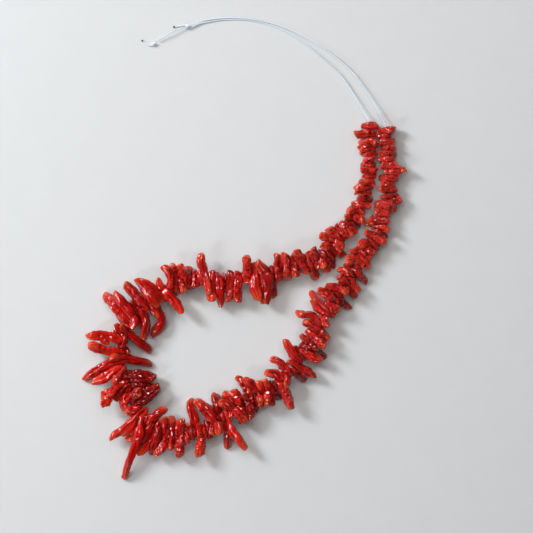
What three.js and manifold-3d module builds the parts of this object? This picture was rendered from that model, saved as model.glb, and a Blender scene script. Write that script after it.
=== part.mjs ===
// Strand of red coral branch pieces threaded on a nylon line.
// Millimetres, +Z up, lying on the plane z = 0 with its origin below the middle of the loop.
//
// The longer pieces are solids of their own: one or more tapered limbs, drilled across.
// A run of small chips between them is one plain solid of the run's outer shape,
// from tip to tip, with the line's hole through it.
import * as THREE from 'three';
import { mergeVertices } from 'three/addons/utils/BufferGeometryUtils.js';
import { ConvexGeometry } from 'three/addons/geometries/ConvexGeometry.js';
import Module from 'manifold-3d';

// ---- driving dimensions (mm) ----
const LINE_RADIUS = 0.25;      // nylon line
const HOLE_RADIUS = 0.68;      // drilled hole, leaves clearance round the line
const HOLE_SIDES = 4;
const HUB_RADIUS = 1.25;       // least half height of a chip run at the line
const LINE_SIDES = 8;
const LINE_STEPS = 46;         // threaded stretch
const END_A_STEPS = 24;        // free ends
const END_B_STEPS = 30;
const LIMB_SIDES = 5;
const TIP_REACH = 0.65;        // blunt end, in radii past the last section
const TIP_RADIUS = 0.75;       // size of that end, in radii
const CLEARANCE = 0.3;         // gap kept where one piece is cut by its neighbour
const KNOT_A_RADIUS = 1.05, KNOT_A_LENGTH = 2.4;
const KNOT_B_RADIUS = 1.0, KNOT_B_LENGTH = 2.2;
const TAIL_TIP_RADIUS = 0.38;  // melted end of a tail

// Route of the line through all the pieces, from the first hole to the last.
const THREADED = [
  [56.87,81.75,3.47],[56.99,79.45,3.47],[57.35,72.32,3.46],[57.14,65.19,3.47],[56.72,58.07,3.58],[55.12,51.14,3.77],
  [52.44,44.53,3.96],[49.33,38.11,4.1],[45.59,32.05,4.23],[41.23,26.4,4.39],[36.96,20.7,4.59],[30.68,17.65,4.83],
  [23.65,16.45,4.95],[16.69,14.85,5.05],[9.74,13.24,5.13],[2.73,11.93,5.18],[-4.32,10.78,5.22],[-11.43,10.3,5.23],
  [-18.57,10.31,5.2],[-25.64,9.47,5.13],[-32.32,7.05,5.16],[-38.43,3.36,5.18],[-43.91,-1.19,5.21],[-48.85,-6.33,5.23],
  [-52.91,-12.17,5.18],[-55.32,-18.88,5.16],[-56.26,-25.94,5.29],[-55.52,-33.01,5.36],[-52.99,-39.68,5.35],[-49.78,-46.05,5.42],
  [-45.65,-51.85,5.44],[-40.25,-56.49,5.4],[-33.91,-59.73,5.4],[-27.02,-61.25,5.35],[-20.26,-59.12,5.28],[-13.88,-55.95,5.2],
  [-8.2,-51.63,5.2],[-2.24,-47.71,5.17],[4.06,-44.35,5.12],[10.25,-40.81,5.09],[16.03,-36.64,5.05],[21.33,-31.86,5.06],
  [25.85,-26.36,5.09],[29.5,-20.23,5.11],[32.82,-13.91,5.09],[36.03,-7.54,5.02],[39.36,-1.23,4.85],[43.1,4.85,4.7],
  [47.46,10.49,4.48],[51.55,16.32,4.34],[55.09,22.52,4.17],[58.71,28.67,4],[61.83,35.08,3.89],[64.07,41.85,3.81],
  [65.79,48.77,3.73],[66.51,55.86,3.64],[66.08,62.98,3.54],[65.22,70.06,3.51],[64.47,77.16,3.58],[64.22,79.75,3.61]
];
// Free ends, the two short tails and the knots.
const END_A = [[56.85,82.1,3.47], [54.59,85.69,2.3], [52.92,89,1.68], [51.1,92.24,1.26], [49.16,95.37,1.07], [47.15,98.56,0.98], [44.61,102.04,0.91], [41.4,105.48,0.88], [37.98,108.54,0.85], [34.35,111.64,0.84], [30.29,115.04,0.82], [25.93,118.34,0.78], [21.73,121.06,0.68], [17.75,123.22,0.56], [13.28,125.14,0.44], [8.11,126.74,0.35], [2.66,127.78,0.31], [-2.8,128.26,0.32], [-8.26,128.18,0.35], [-13.62,127.64,0.46], [-18.18,126.81,0.68], [-21.48,125.92,0.9], [-23.82,124.79,1.05]];
const END_B = [[64.18,80.1,3.62], [62.24,84.15,2.7], [60.02,88.42,2.06], [57.85,92.21,1.69], [55.83,95.35,1.54], [53.96,98,1.48], [52.2,100.44,1.46], [50.37,102.89,1.45], [48.13,105.41,1.44], [45.37,108.01,1.43], [42.25,110.65,1.39], [38.71,113.35,1.32], [34.53,116.12,1.22], [29.85,118.85,1.11], [25.12,121.38,0.99], [20.58,123.57,0.85], [16.13,125.33,0.7], [11.65,126.69,0.55], [6.92,127.75,0.43], [1.73,128.55,0.38], [-3.71,128.96,0.37], [-9.16,128.89,0.39], [-14.39,128.36,0.55], [-19.17,127.52,0.85], [-25.77,125.02,1.3], [-29.19,124.02,1.7], [-33.05,122.38,2.2], [-36.92,120.19,1.75], [-39.65,118.47,1.3]];
const TAIL_A = [[-26.18,125.7,1.3], [-27.68,125.61,0.95], [-29.41,125.25,0.6], [-31.83,124.88,0.45]];
const TAIL_B = [[-41.93,116.56,1], [-43.29,116.42,0.7], [-44.75,117.19,0.45], [-46.39,118.38,0.42]];
const KNOT_A = [[-25.77,125.02,1.3], [-23.27,125.93,1.2], [-28.28,124.02,1.6]];
const KNOT_B = [[-41.24,117.1,1.15]];

// Longer pieces: name, tone (0 dark, 1 light), limbs as [x, y, z, radius] sections,
// with a taller half height as a fifth value where the line passes through.
const BRANCHES = [
  ['coral_branch_032', 0.38, [[[12.51,15.08,4.95,0.97],[12.55,13.83,5.1,1.02,1.3],[13.37,2.03,0.64,1.14]]]],
  ['coral_branch_033', 0.30, [[[6.46,17.09,6.97,1.59],[8.97,13.08,5.14,1.74,1.74],[10.01,10.42,6.16,2.28],[10.47,6.87,5.95,2.09],[8.69,-0.59,5.76,1.18]], [[10.47,6.42,5.94,1.5],[10.3,-0.5,5.84,1.23]]]],
  ['coral_branch_034', 0.65, [[[4.87,16.64,4.28,1.23],[5.05,12.34,5.17,1.54,1.54],[6.34,1.4,7.41,1.55]]]],
  ['coral_branch_039', 0.42, [[[-11.58,11.25,5.33,1.51],[-11.54,10.29,5.23,1.34,1.34],[-11.09,7.5,5.79,1.8],[-10.88,-2.01,4.49,0.91]]]],
  ['coral_branch_040', 0.50, [[[-14.69,12.46,5.32,1.59],[-14.47,10.32,5.22,1.47,1.47],[-14.47,8.71,4.35,1.86],[-14.73,0.45,6.76,1.55]]]],
  ['coral_branch_041', 0.60, [[[-19.22,20.56,7.16,1.23],[-19.53,18.13,6.55,1.5],[-17.36,10.34,5.21,1.21,1.3],[-15.87,3.88,8.28,1.04]]]],
  ['coral_branch_049', 0.52, [[[-39.38,9.17,5.86,1.14],[-36.45,4.61,5.17,1.47,1.47],[-28.59,-4.65,7.22,1.32]]]],
  ['coral_branch_050', 0.48, [[[-48.75,9.58,6.77,1],[-39.65,2.58,5.19,2.1,2.1],[-36.22,0.61,4.49,1.41]], [[-46.94,7.34,6.47,1.05],[-41.96,0.86,8.04,1.62],[-39.5,-1.94,7.18,1.21]]]],
  ['coral_branch_051', 0.38, [[[-43.66,0.72,4.99,1.33],[-42.82,-0.18,5.21,1.41,1.41],[-37.83,-9.3,3.3,1.65],[-39.38,-12.85,2.5,2],[-41.47,-14.48,1.9,1.75]], [[-42.79,-0.71,5.04,1.14],[-40.74,-5.62,4.96,1.09]]]],
  ['coral_branch_052', 0.42, [[[-53.5,7.02,7.22,1.5],[-45.33,-2.51,5.22,1.32,1.32],[-44.6,-3.51,5.32,1.16]]]],
  ['coral_branch_053', 0.35, [[[-47.75,-3.4,5.33,0.97],[-47.22,-4.5,5.23,1.02,1.3],[-44.97,-7.93,5.64,1.45],[-44.79,-12.48,5.4,1.8],[-45.84,-16.67,5.2,1.5]]]],
  ['coral_branch_054', 0.12, [[[-50.99,-0.85,4.04,1.46],[-48.81,-6.28,5.23,1.02,1.3],[-48.4,-7.44,4.21,0.91]], [[-48.85,-6.05,5,0.96],[-48.03,-8.57,4.34,1.17],[-48.05,-10.04,5.06,1.05]]]],
  ['coral_branch_055', 0.48, [[[-58.56,3.08,6.31,1.14],[-51.97,-5.33,6.35,1.79],[-50.34,-8.11,5.22,1.02,1.3],[-49.65,-9.14,6.34,1.07]], [[-51.1,-7.46,5.63,1.17],[-49.56,-9.78,7.08,1.17],[-50.44,-12.08,7.72,1.07]]]],
  ['coral_branch_056', 0.55, [[[-63.29,2.46,1.05,1.55],[-59.03,-2.23,4.39,1.91],[-51.74,-10.06,5.2,1.02,1.3],[-50.85,-10.92,5.3,0.91]]]],
  ['coral_branch_057', 0.50, [[[-57.67,-6.19,2.68,0.97],[-53.74,-11.15,4.01,1.19],[-52.85,-12.03,5.18,1.02,1.3],[-52.11,-12.75,4.31,1.01]]]],
  ['coral_branch_058', 0.25, [[[-55.78,-11.77,7.48,0.93],[-53.78,-14.13,5.16,1.02,1.3],[-47.52,-19.18,3.91,1.59],[-43.13,-22.71,0.73,1.23]]]],
  ['coral_branch_059', 0.35, [[[-59.27,-14.69,4.24,1.12],[-57.36,-13.41,4.14,1.32],[-55.61,-14.74,3.7,0.8],[-54.58,-16.33,5.15,1.02,1.3],[-53.99,-16.77,4.37,1.07]], [[-55.57,-15.52,4.34,1.08],[-57.81,-11.02,5.4,1.05]]]],
  ['coral_branch_060', 0.60, [[[-70.5,-16.6,6.31,1.46],[-62.62,-15.87,5.97,1.55],[-55.25,-18.56,5.16,1.02,1.3],[-53.72,-19.42,3.96,0.65]], [[-63.53,-16.33,6,1.27],[-62.33,-19.81,5.94,1]]]],
  ['coral_branch_061', 0.25, [[[-56.82,-20.25,4.15,1],[-55.8,-21.01,5.19,1.02,1.3],[-52.61,-23.75,5.37,0.96]], [[-55.23,-21.24,4.98,0.69],[-54.34,-19.27,6.86,0.71],[-53.96,-17.13,7.05,0.87]]]],
  ['coral_branch_062', 0.66, [[[-69.74,-20.39,6.31,1.68],[-61.77,-22.96,5.37,1.73],[-56.13,-23.34,5.23,1.02,1.3],[-54.97,-23.54,6.25,0.76]]]],
  ['coral_branch_063', 0.32, [[[-59.68,-25.66,7.77,1.46],[-56.26,-25.64,5.28,1.02,1.3],[-43.21,-28.69,0.77,1.27]]]],
  ['coral_branch_064', 0.50, [[[-72.09,-35.34,0.91,1.41],[-66.9,-31.74,3.82,1.77],[-60.02,-28.15,4.85,1.62],[-56.24,-27.96,5.32,1.02,1.3],[-54.68,-28.43,5.42,0.91]]]],
  ['coral_branch_065', 0.85, [[[-68.03,-36.89,5.4,1.36],[-62.93,-35.02,5.44,1.82],[-56.05,-30.25,5.34,1.02,1.3],[-54.87,-30.04,4.55,0.74]]]],
  ['coral_branch_075', 0.72, [[[-60.96,-62.94,4.95,0.68],[-52.84,-56.68,5.24,1.46],[-47,-50.28,5.45,1.02,1.3],[-45.99,-49.48,5.55,0.64]], [[-49.85,-53.34,5.37,1.14],[-50.35,-56.52,5.27,1.23],[-55.08,-61.25,5.09,0.77]], [[-49.98,-55.95,5.31,1],[-51.27,-60.55,5.16,0.73]]]],
  ['coral_branch_076', 0.55, [[[-44.06,-49.2,4.16,0.64],[-45.66,-51.84,5.44,1.02,1.3],[-46.83,-55.11,6.97,0.5],[-47.58,-59.69,6.83,1.64],[-50.38,-68.28,5.76,1.41],[-53.17,-75.65,4.09,1.18],[-54.8,-80.57,0.82,1.32]]]],
  ['coral_branch_077', 0.60, [[[-53.09,-63.44,3.13,1.05],[-48.44,-60.61,3.57,1.32],[-44.26,-53.26,5.43,1.02,1.3],[-43.41,-52.36,4.32,0.92]]]],
  ['coral_branch_078', 0.58, [[[-36.67,-49.22,6.77,1.46],[-42.79,-54.58,5.41,1.02,1.3],[-43.72,-55.87,6.71,1.36]]]],
  ['coral_branch_079', 0.30, [[[-47.11,-64.56,4.38,1.09],[-41.29,-55.78,5.41,1.02,1.3],[-40.43,-54.91,4.75,0.9]]]],
  ['coral_branch_080', 0.58, [[[-48.14,-69.13,4.41,1.32],[-46.14,-67.84,4.32,1.55],[-42.43,-61.99,3.77,1.38],[-40.65,-58.39,4.11,1.26],[-39.73,-56.85,5.4,1.02,1.3],[-39.03,-55.82,5.5,0.92]]]],
  ['coral_branch_081', 0.35, [[[-42.05,-69.7,0.77,1.27],[-39.91,-62.94,5.16,1.63],[-38.1,-57.81,5.4,1.02,1.3],[-37.55,-56.72,4.48,0.88]]]],
  ['coral_branch_089', 0.48, [[[-24.26,-45.7,0.59,1.09],[-24.55,-48.28,2.64,1.27],[-22.46,-55.03,4.2,1.36],[-22.13,-59.92,5.3,1.02,1.3],[-21.98,-61.13,4.25,0.89]]]],
  ['coral_branch_094', 0.52, [[[-21.19,-45.84,6.59,1.46],[-16.52,-50.43,6.29,2.14],[-12.95,-55.33,5.19,1.02,1.3],[-11.8,-56.81,6.66,1.53],[-11.36,-59.76,7.34,1.45]]]],
  ['coral_branch_095', 0.22, [[[-13.22,-43.52,1.14,1.64],[-12.03,-49.03,4.21,1.73],[-12.05,-51.86,4.77,0.73],[-11.27,-54.04,5.18,1.02,1.3],[-11.05,-55.23,4.17,0.72]]]],
  ['coral_branch_096', 0.45, [[[-7.79,-66.44,0.77,1.27],[-7.74,-58.15,3.52,1.41],[-9.58,-52.7,5.19,1.02,1.3],[-9.78,-51.67,4.11,0.77]]]],
  ['coral_branch_097', 0.72, [[[0.51,-66.95,6.24,1.09],[-5.37,-59.2,6.05,1.5],[-6.79,-55.25,6.06,0.5],[-7.87,-51.38,5.2,1.02,1.3],[-8.4,-50.27,5.3,0.9]]]],
  ['coral_branch_105', 0.48, [[[0.29,-35.74,6.96,1.18],[6.95,-42.73,5.11,1.02,1.3],[7.59,-46.04,7.64,1.23]]]],
  ['coral_branch_115', 0.35, [[[20.51,-27.61,5.56,1.1],[23.74,-29.23,5.07,1.02,1.3],[30.79,-33.81,4.83,1.36]], [[29.56,-33.17,4.83,1.05],[32.37,-34.5,4.83,0.82]]]],
  ['coral_branch_116', 0.52, [[[19.07,-18.28,5.75,1.18],[21.66,-23.47,6.07,1.77],[25.15,-27.39,5.08,1.02,1.3],[26.01,-28.26,5.18,0.75]]]],
  ['coral_branch_126', 0.55, [[[30.84,3.56,0.59,1.09],[32.37,1.02,2.78,1.05],[37.86,-4,4.93,1.02,1.3],[40.72,-6.63,3.64,1.09]]]],
];

// Runs of small chips: name, tone, and for each chip its two ends and its hole, then its fork tips.
const RUNS = [
  ['coral_chips_001_to_009', 0.59, [
    [[[54.06,79.58,3.4,1.05],[56.99,79.45,3.47,1.61],[59.94,79.82,4.31,1.27]], []],
    [[[51.22,75.73,4.75,1.5],[57.18,76.24,3.47,1.61],[58.4,76.28,3.38,1.41]], []],
    [[[53.05,71.54,0.5,1],[57.35,73.02,3.46,1.55],[58.94,72.9,3.56,1.13]], [[59.64,71.49,5.54,1.05]]],
    [[[53.12,68.95,4.48,1.09],[57.38,69.88,3.46,1.44],[59.17,69.99,2.75,1.72]], []],
    [[[53.49,67.52,2.93,1.05],[57.26,66.97,3.46,1.29],[59.54,67.17,3.28,1.13]], []],
    [[[55.06,63.2,3.57,1.13],[57.08,64.34,3.47,1.16],[58.33,64.76,3.57,1.44]], []],
    [[[54.46,61.76,0.59,1.09],[56.95,61.83,3.5,1.22],[59.22,61.59,3.23,1.09]], []],
    [[[54.47,59.35,3.65,1.67],[56.83,59.31,3.55,1.23],[59.08,59.19,3.65,1.67]], []],
    [[[54.79,56.77,3.71,1.13],[56.59,56.74,3.61,1.25],[59.32,56.95,2.73,1.09]], []]
  ]],
  ['coral_chips_010_to_017', 0.55, [
    [[[53.19,54.09,3.18,1.34],[56.08,54.21,3.68,1.26],[58.82,53.62,3.78,1.21]], []],
    [[[51.72,51.37,5.97,1.41],[55.32,51.69,3.76,1.26],[57.57,51.83,2.63,1.25]], []],
    [[[51.34,49.34,3.93,1.25],[54.39,49.13,3.83,1.32],[56.99,49.09,3.93,1.21]], []],
    [[[52.22,46.7,3.16,1.25],[53.34,46.51,3.91,1.39],[57.23,45.44,0.96,1.46]], []],
    [[[49.99,43.87,4.08,1.25],[52.11,43.81,3.98,1.43],[56.85,43,3.56,1.09]], []],
    [[[47.82,40.68,5.81,1.41],[50.77,41.01,4.04,1.45],[53.91,40.82,4.14,1.3]], []],
    [[[46.57,37.79,5.65,1.32],[49.36,38.18,4.1,1.41],[53.85,36.96,5.1,1.36]], []],
    [[[46.9,36.24,3.28,1],[47.89,35.43,4.16,1.23],[51.9,34.46,0.73,1.23]], []]
  ]],
  ['coral_chips_018_to_025', 0.51, [
    [[[44.8,34.84,4.31,1.59],[46.28,32.94,4.21,1.36],[48.01,30.54,4.31,1.72]], [[50.02,31.18,4.86,1.14]]],
    [[[42.19,33.82,4.06,1.14],[44.56,30.72,4.27,1.26],[45.9,28.94,4.16,1.13]], []],
    [[[38.78,32.52,5.99,1.5],[42.84,28.58,4.33,1.35],[44.62,26.9,2.58,1.25]], []],
    [[[35.14,29.5,5.63,1.55],[41.18,26.35,4.39,1.34],[44.22,24.06,5.52,1.91]], []],
    [[[35.49,25.33,5.73,1.14],[39.63,24.08,4.46,1.24],[44.68,20.69,2.09,1.23]], []],
    [[[37.4,22.63,3.66,1.13],[38.11,21.97,4.53,1.14],[40.04,16.14,1,1.5]], []],
    [[[35.26,22.59,4.71,1.25],[36.53,20.22,4.61,1.04],[37.9,13.81,3.2,1.32]], []],
    [[[34.04,20.24,3.85,1],[34.77,18.92,4.69,1.02],[36.24,15.71,6.94,1.27]], []]
  ]],
  ['coral_chips_026_to_031', 0.43, [
    [[[31.41,23.11,6.61,1.32],[32.65,18.06,4.77,1.07],[33.47,15.17,4.87,1.29]], []],
    [[[29.14,21.37,4.93,1.32],[29.86,17.48,4.85,1.38],[32.43,11.38,1.27,1.77]], []],
    [[[24.14,22.36,6.92,1.5],[26.37,16.94,4.91,1.67],[28.49,12.94,5.1,1.41]], [[22.75,21.13,6.66,1.18]]],
    [[[21.88,19.9,4.34,1.23],[22.63,16.27,4.97,1.43],[23.63,11.69,6.64,1.36]], []],
    [[[18.97,20.61,7.22,1.46],[19.09,15.46,5.02,1.64],[19.64,10.96,4.95,1.64]], []],
    [[[15.26,20.25,6.05,1.46],[15.82,14.63,5.06,1.57],[15.93,9.45,4.49,1.36]], []]
  ]],
  ['coral_chips_035_to_038', 0.43, [
    [[[1.39,19.01,7.68,1.68],[1.06,11.63,5.19,1.8],[1,8.94,5.29,1.46]], []],
    [[[-2.66,12.24,5.31,1.34],[-2.68,11.01,5.21,1.54],[-3.1,0.5,5.86,1.36]], []],
    [[[-5.78,12.72,5.32,1.25],[-5.92,10.56,5.22,1.39],[-6.89,0.31,4.95,1.23]], []],
    [[[-8.84,11.58,5.33,1.02],[-8.75,10.34,5.23,1.16],[-8.52,4.36,0.55,1.05]], []]
  ]],
  ['coral_chips_042_to_048', 0.53, [
    [[[-20.58,12.84,5.29,1.13],[-20,10.28,5.19,1.18],[-19.23,7.77,5.23,1.09]], []],
    [[[-22.56,13.09,4.39,1.25],[-22.35,10.07,5.16,1.1],[-22.11,7.04,6.21,1.55]], []],
    [[[-25.26,14.38,0.86,1.36],[-24.52,9.72,5.14,1.07],[-24.14,6.32,4.43,1.27]], []],
    [[[-28.82,15.98,7.22,1.14],[-26.63,9.25,5.13,1.02],[-26.24,7.16,5.23,1.02]], []],
    [[[-30.68,14.45,3.65,1.26],[-28.75,8.62,5.13,1.09],[-27.22,4.97,5.89,1.55]], []],
    [[[-33.06,15.27,6.05,1.41],[-31,7.74,5.15,1.17],[-30.56,3.83,3.95,1.41]], []],
    [[[-36.24,15.3,7.68,1.27],[-33.53,6.43,5.16,1.09],[-34.09,4.9,3.76,0.99]], []]
  ]],
  ['coral_chips_066_to_074', 0.40, [
    [[[-58.78,-36.99,7.47,1.14],[-55.68,-32.47,5.36,1.02],[-53.93,-30.53,7.69,0.53]], []],
    [[[-56.26,-34.84,4.23,1.04],[-55.05,-34.59,5.36,1.02],[-41.79,-35.23,4.95,1.95]], [[-41.36,-34.06,4.95,1.23]]],
    [[[-62.16,-43.41,7.22,1.59],[-54.28,-36.65,5.35,1.06],[-53.1,-36.36,5.45,0.93]], [[-62.82,-41.13,7.03,1],[-62.12,-47.17,7.22,1.18]]],
    [[[-58.49,-44.59,4.49,1.09],[-53.44,-38.67,5.35,1.02],[-52.49,-37.91,5.09,0.92]], []],
    [[[-39.72,-39.44,0.82,1.32],[-52.53,-40.71,5.36,1.02],[-53.64,-41.01,5.46,0.82]], [[-52.03,-39.42,3.76,1.09]]],
    [[[-54.09,-49.53,5.04,1.14],[-51.58,-42.7,5.37,1.02],[-50.53,-41.8,5.47,0.74]], []],
    [[[-48.43,-40.51,7.74,1.46],[-50.54,-44.7,5.4,1.02],[-50.67,-48.11,2.54,0.5]], [[-47.44,-43.14,8.01,1.14]]],
    [[[-39.38,-39.6,4.94,1.75],[-49.44,-46.65,5.43,1.02],[-50.07,-47.72,4.97,0.51]], []],
    [[[-52.44,-50.11,6.6,1.55],[-48.27,-48.53,5.44,1.02],[-47.07,-48.25,4.54,0.87]], []]
  ]],
  ['coral_chips_082_to_088', 0.54, [
    [[[-36.32,-53.93,6.77,1.23],[-36.33,-58.7,5.4,1.02],[-36.35,-59.65,5.5,1.21]], []],
    [[[-40.54,-69.96,4.94,0.96],[-34.43,-59.52,5.4,1.02],[-34.17,-58.36,4.34,0.89]], []],
    [[[-32.96,-53.61,5.65,1.18],[-32.46,-60.32,5.39,1.03],[-33.24,-67.5,5.65,1.05]], []],
    [[[-28.99,-54.73,6.4,1.55],[-30.39,-60.97,5.38,1.05],[-30.71,-62.18,5.48,0.92]], []],
    [[[-27.88,-59.84,4.15,1.13],[-28.26,-61.31,5.36,1.05],[-29.2,-69.6,4.89,1.96]], []],
    [[[-26.53,-59.41,5.44,0.94],[-26.12,-61.21,5.34,1.02],[-26.16,-64.13,5.44,0.97]], []],
    [[[-25.18,-56.51,5.75,1.27],[-24.08,-60.68,5.32,1.02],[-23.9,-62.12,4.21,1.13]], []]
  ]],
  ['coral_chips_090_to_093', 0.54, [
    [[[-20.24,-57.34,5.38,1.34],[-20.22,-59.1,5.28,1.02],[-20.31,-61.6,7.43,0.62]], []],
    [[[-18.35,-57.11,4.29,0.91],[-18.33,-58.31,5.25,1.02],[-20.35,-69.26,5.82,2.05]], []],
    [[[-16.84,-55.67,5.33,1.21],[-16.46,-57.46,5.23,1.04],[-16.07,-61.38,3.29,1.46]], []],
    [[[-15.13,-54.88,3.86,0.57],[-14.67,-56.47,5.21,1.02],[-14.37,-60.23,6.08,1.14]], []]
  ]],
  ['coral_chips_098_to_104', 0.42, [
    [[[-7.04,-48.57,4.44,1.04],[-6.1,-50.1,5.2,1.02],[-5.96,-52.79,7.36,0.5]], []],
    [[[-10.26,-46.88,7.4,1.45],[-4.29,-48.91,5.19,1.02],[-0.2,-52.98,5.9,2.15]], []],
    [[[-5.34,-41.93,6.55,1.77],[-2.35,-47.76,5.17,1.02],[-2.61,-48.88,4.07,0.7]], [[-8.34,-42.79,6.55,1.59]]],
    [[[-0.95,-45.56,4.15,0.97],[-0.4,-46.7,5.15,1.02],[-0.94,-54.88,0.73,1.23]], []],
    [[[-0.1,-43.23,7.28,1.36],[1.5,-45.72,5.13,1.05],[3.06,-52.68,5.08,1.59]], []],
    [[[-3.25,-34.96,5.51,0.86],[3.36,-44.74,5.12,1.05],[3.77,-45.93,4.89,0.92]], []],
    [[[4.69,-42.83,4.15,0.85],[5.18,-43.73,5.11,1.02],[5.19,-50.07,0.86,1.36]], []]
  ]],
  ['coral_chips_106_to_114', 0.47, [
    [[[6.36,-37.43,6.94,1.18],[8.7,-41.72,5.11,1.02],[7.48,-47.92,5.39,1.18]], [[8.08,-36.88,6.03,0.96]]],
    [[[9.56,-36.61,7.17,1],[10.45,-40.69,5.09,1.03],[10.34,-46.5,6.59,1.23]], []],
    [[[11.5,-37.64,5.14,1.24],[12.19,-39.59,5.07,1.02],[12.7,-46.9,4.93,1.18]], []],
    [[[13.42,-37.36,4.05,1.04],[13.88,-38.36,5.06,1.04],[15.96,-44.44,0.77,1.27]], []],
    [[[14.61,-36.39,5.15,1.05],[15.56,-37.03,5.05,1.02],[21.22,-48.4,6.26,1.46]], []],
    [[[10.68,-32.99,6.23,1.36],[17.26,-35.6,5.05,1.02],[19.17,-36.88,3.46,1.44]], []],
    [[[17.57,-33.2,5.15,1.13],[18.96,-34.12,5.05,1.02],[18.96,-38.41,7.71,1.05]], []],
    [[[12.89,-26.69,5.76,1.18],[20.62,-32.58,5.06,1.06],[21.45,-33.51,4.58,0.93]], []],
    [[[21.47,-30.37,4.2,0.85],[22.22,-30.95,5.06,1.02],[27.18,-36.25,0.46,0.96]], []]
  ]],
  ['coral_chips_117_to_125', 0.51, [
    [[[23.17,-21.43,4.17,1.09],[26.46,-25.46,5.09,1.02],[27.18,-26.49,4.06,0.9]], []],
    [[[26.3,-22.53,5.2,1.16],[27.66,-23.49,5.1,1.05],[33.9,-27.46,5.77,1.41]], []],
    [[[25.95,-20.22,4.83,1.25],[28.81,-21.49,5.11,1.06],[36.63,-25.46,0.55,1.05]], []],
    [[[26.35,-16.36,5.78,1.18],[29.97,-19.36,5.11,1.11],[32.63,-21.43,6.15,1.31]], []],
    [[[28.85,-13.51,5.32,1.14],[31.58,-16.31,5.1,1.53],[36.33,-20.32,6.68,1.59]], []],
    [[[28.01,-9.96,6.21,1.36],[33.19,-13.18,5.09,1.51],[37.61,-17.22,4.85,1.23]], []],
    [[[24.93,-6.07,6.19,1.36],[34.63,-10.32,5.07,1.25],[35.56,-11.13,4.85,1.09]], []],
    [[[34.96,-6.8,5.13,1.08],[35.81,-7.98,5.03,1.04],[37.13,-10.58,7.36,1.32]], []],
    [[[31.23,-0.1,5.67,0.86],[36.83,-5.98,4.98,1.02],[37.86,-6.67,5.08,0.93]], []]
  ]],
  ['coral_chips_127_to_135', 0.47, [
    [[[37.42,-0.64,4.31,1.21],[38.99,-1.89,4.87,1.12],[42.14,-3.78,6.01,1.73]], []],
    [[[34.13,4.58,6.86,1.5],[40.37,0.56,4.81,1.34],[41.83,-0.15,4.91,1.56]], []],
    [[[41.38,3.88,3.86,1.17],[41.93,3.12,4.75,1.23],[47.55,-3.29,0.64,1.14]], []],
    [[[37.73,6.53,5.78,1.41],[43.43,5.35,4.68,1.05],[46.51,4.13,6.93,1.59]], []],
    [[[43.74,8.01,3.91,1.09],[44.72,7.1,4.61,1.06],[50.72,1.87,3.41,1]], []],
    [[[43.46,10.62,6.49,1.27],[46.05,8.78,4.54,1.06],[47.22,7.9,4.64,1.21]], []],
    [[[46.37,11.81,3.1,1],[47.41,10.44,4.48,1.05],[51.86,4.74,4.56,1.14]], []],
    [[[43.09,14.33,5.83,1.05],[48.75,12.1,4.42,1.03],[50.46,10.77,2.72,1.13]], []],
    [[[49.16,14.73,3.27,0.7],[50.01,13.82,4.38,1.02],[55.64,8.87,0.73,1.23]], [[45.82,15.73,3.92,1.05]]]
  ]],
  ['coral_chips_136_to_144', 0.50, [
    [[[52.95,15.35,2.99,1.05],[51.19,15.71,4.35,1.02],[50.17,15.65,4.45,0.86]], []],
    [[[47.85,18.46,5.6,2.15],[52.33,17.65,4.31,1.06],[53.65,16.4,4.41,1.21]], []],
    [[[52.56,20.49,4.36,1.07],[53.44,19.59,4.26,1.02],[56.67,15.17,3.72,0.91]], []],
    [[[49.15,22.13,4.85,1.27],[54.54,21.54,4.2,1.02],[57.21,19.75,4.14,1.14]], []],
    [[[54.07,24.28,3,1.05],[55.64,23.48,4.14,1.06],[59.04,21.8,5.18,1.05]], []],
    [[[53.28,24.84,6.22,1.55],[56.75,25.42,4.08,1.05],[57.71,24.82,3.11,0.91]], []],
    [[[57.02,28.1,3.11,1],[57.88,27.31,4.03,1.04],[59.64,22.72,3.46,0.96]], []],
    [[[55.88,30.65,4.99,1.32],[59.01,29.17,3.99,1.07],[63.48,26.87,5.01,1.59]], []],
    [[[58.89,32,3.65,1.09],[60.21,31.36,3.95,1.25],[64.52,29.06,0.77,1.27]], []]
  ]],
  ['coral_chips_145_to_153', 0.49, [
    [[[59.21,34.09,4.01,0.84],[61.31,33.71,3.91,1.06],[65.21,32.08,5.01,1.05]], []],
    [[[57.63,35.93,3,2.3],[62.36,36.46,3.87,1.43],[64.6,36.12,3.97,1.38]], []],
    [[[60.13,40.26,4.53,1.32],[63.47,39.85,3.83,1.58],[65.66,39.62,3.93,1.43]], []],
    [[[62.05,43.73,1.55,2.05],[64.6,43.66,3.79,1.81],[67.77,41.13,3.99,1.14]], [[70.62,45.83,4.06,1.23]]],
    [[[63.15,46.97,3.85,0.84],[65.52,47.29,3.75,1.15],[68.71,47.6,2.98,1.18]], []],
    [[[62.51,50.67,5.35,1.14],[66.09,50.37,3.71,1.3],[68.81,50.7,3.53,1.13]], []],
    [[[63,52.99,4.4,1.23],[66.39,53.06,3.68,1.27],[67.65,53.11,3.78,1.1]], []],
    [[[62.99,55.83,0.86,1.36],[66.52,55.75,3.64,1.32],[69.3,55.76,3.74,1.25]], []],
    [[[64.49,58.53,3.4,1.17],[66.45,58.6,3.6,1.33],[72.6,59.82,5.22,1.09]], []]
  ]],
  ['coral_chips_154_to_160', 0.49, [
    [[[63.1,61.51,4.71,1.36],[66.24,61.53,3.56,1.43],[69.41,61.61,4.94,1.27]], []],
    [[[62.52,64.47,2.84,1.36],[65.92,64.41,3.53,1.35],[67.26,64.33,3.63,1.13]], []],
    [[[62.54,67.39,3.61,1.21],[65.57,67.17,3.51,1.29],[68.19,66.9,0.73,1.23]], []],
    [[[62.77,69.8,2.91,1.17],[65.25,69.81,3.51,1.26],[67.87,69.83,3.61,1.21]], []],
    [[[62.14,71.63,4.3,1.09],[64.94,72.38,3.52,1.2],[67.57,72.45,3.3,1.09]], []],
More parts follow.
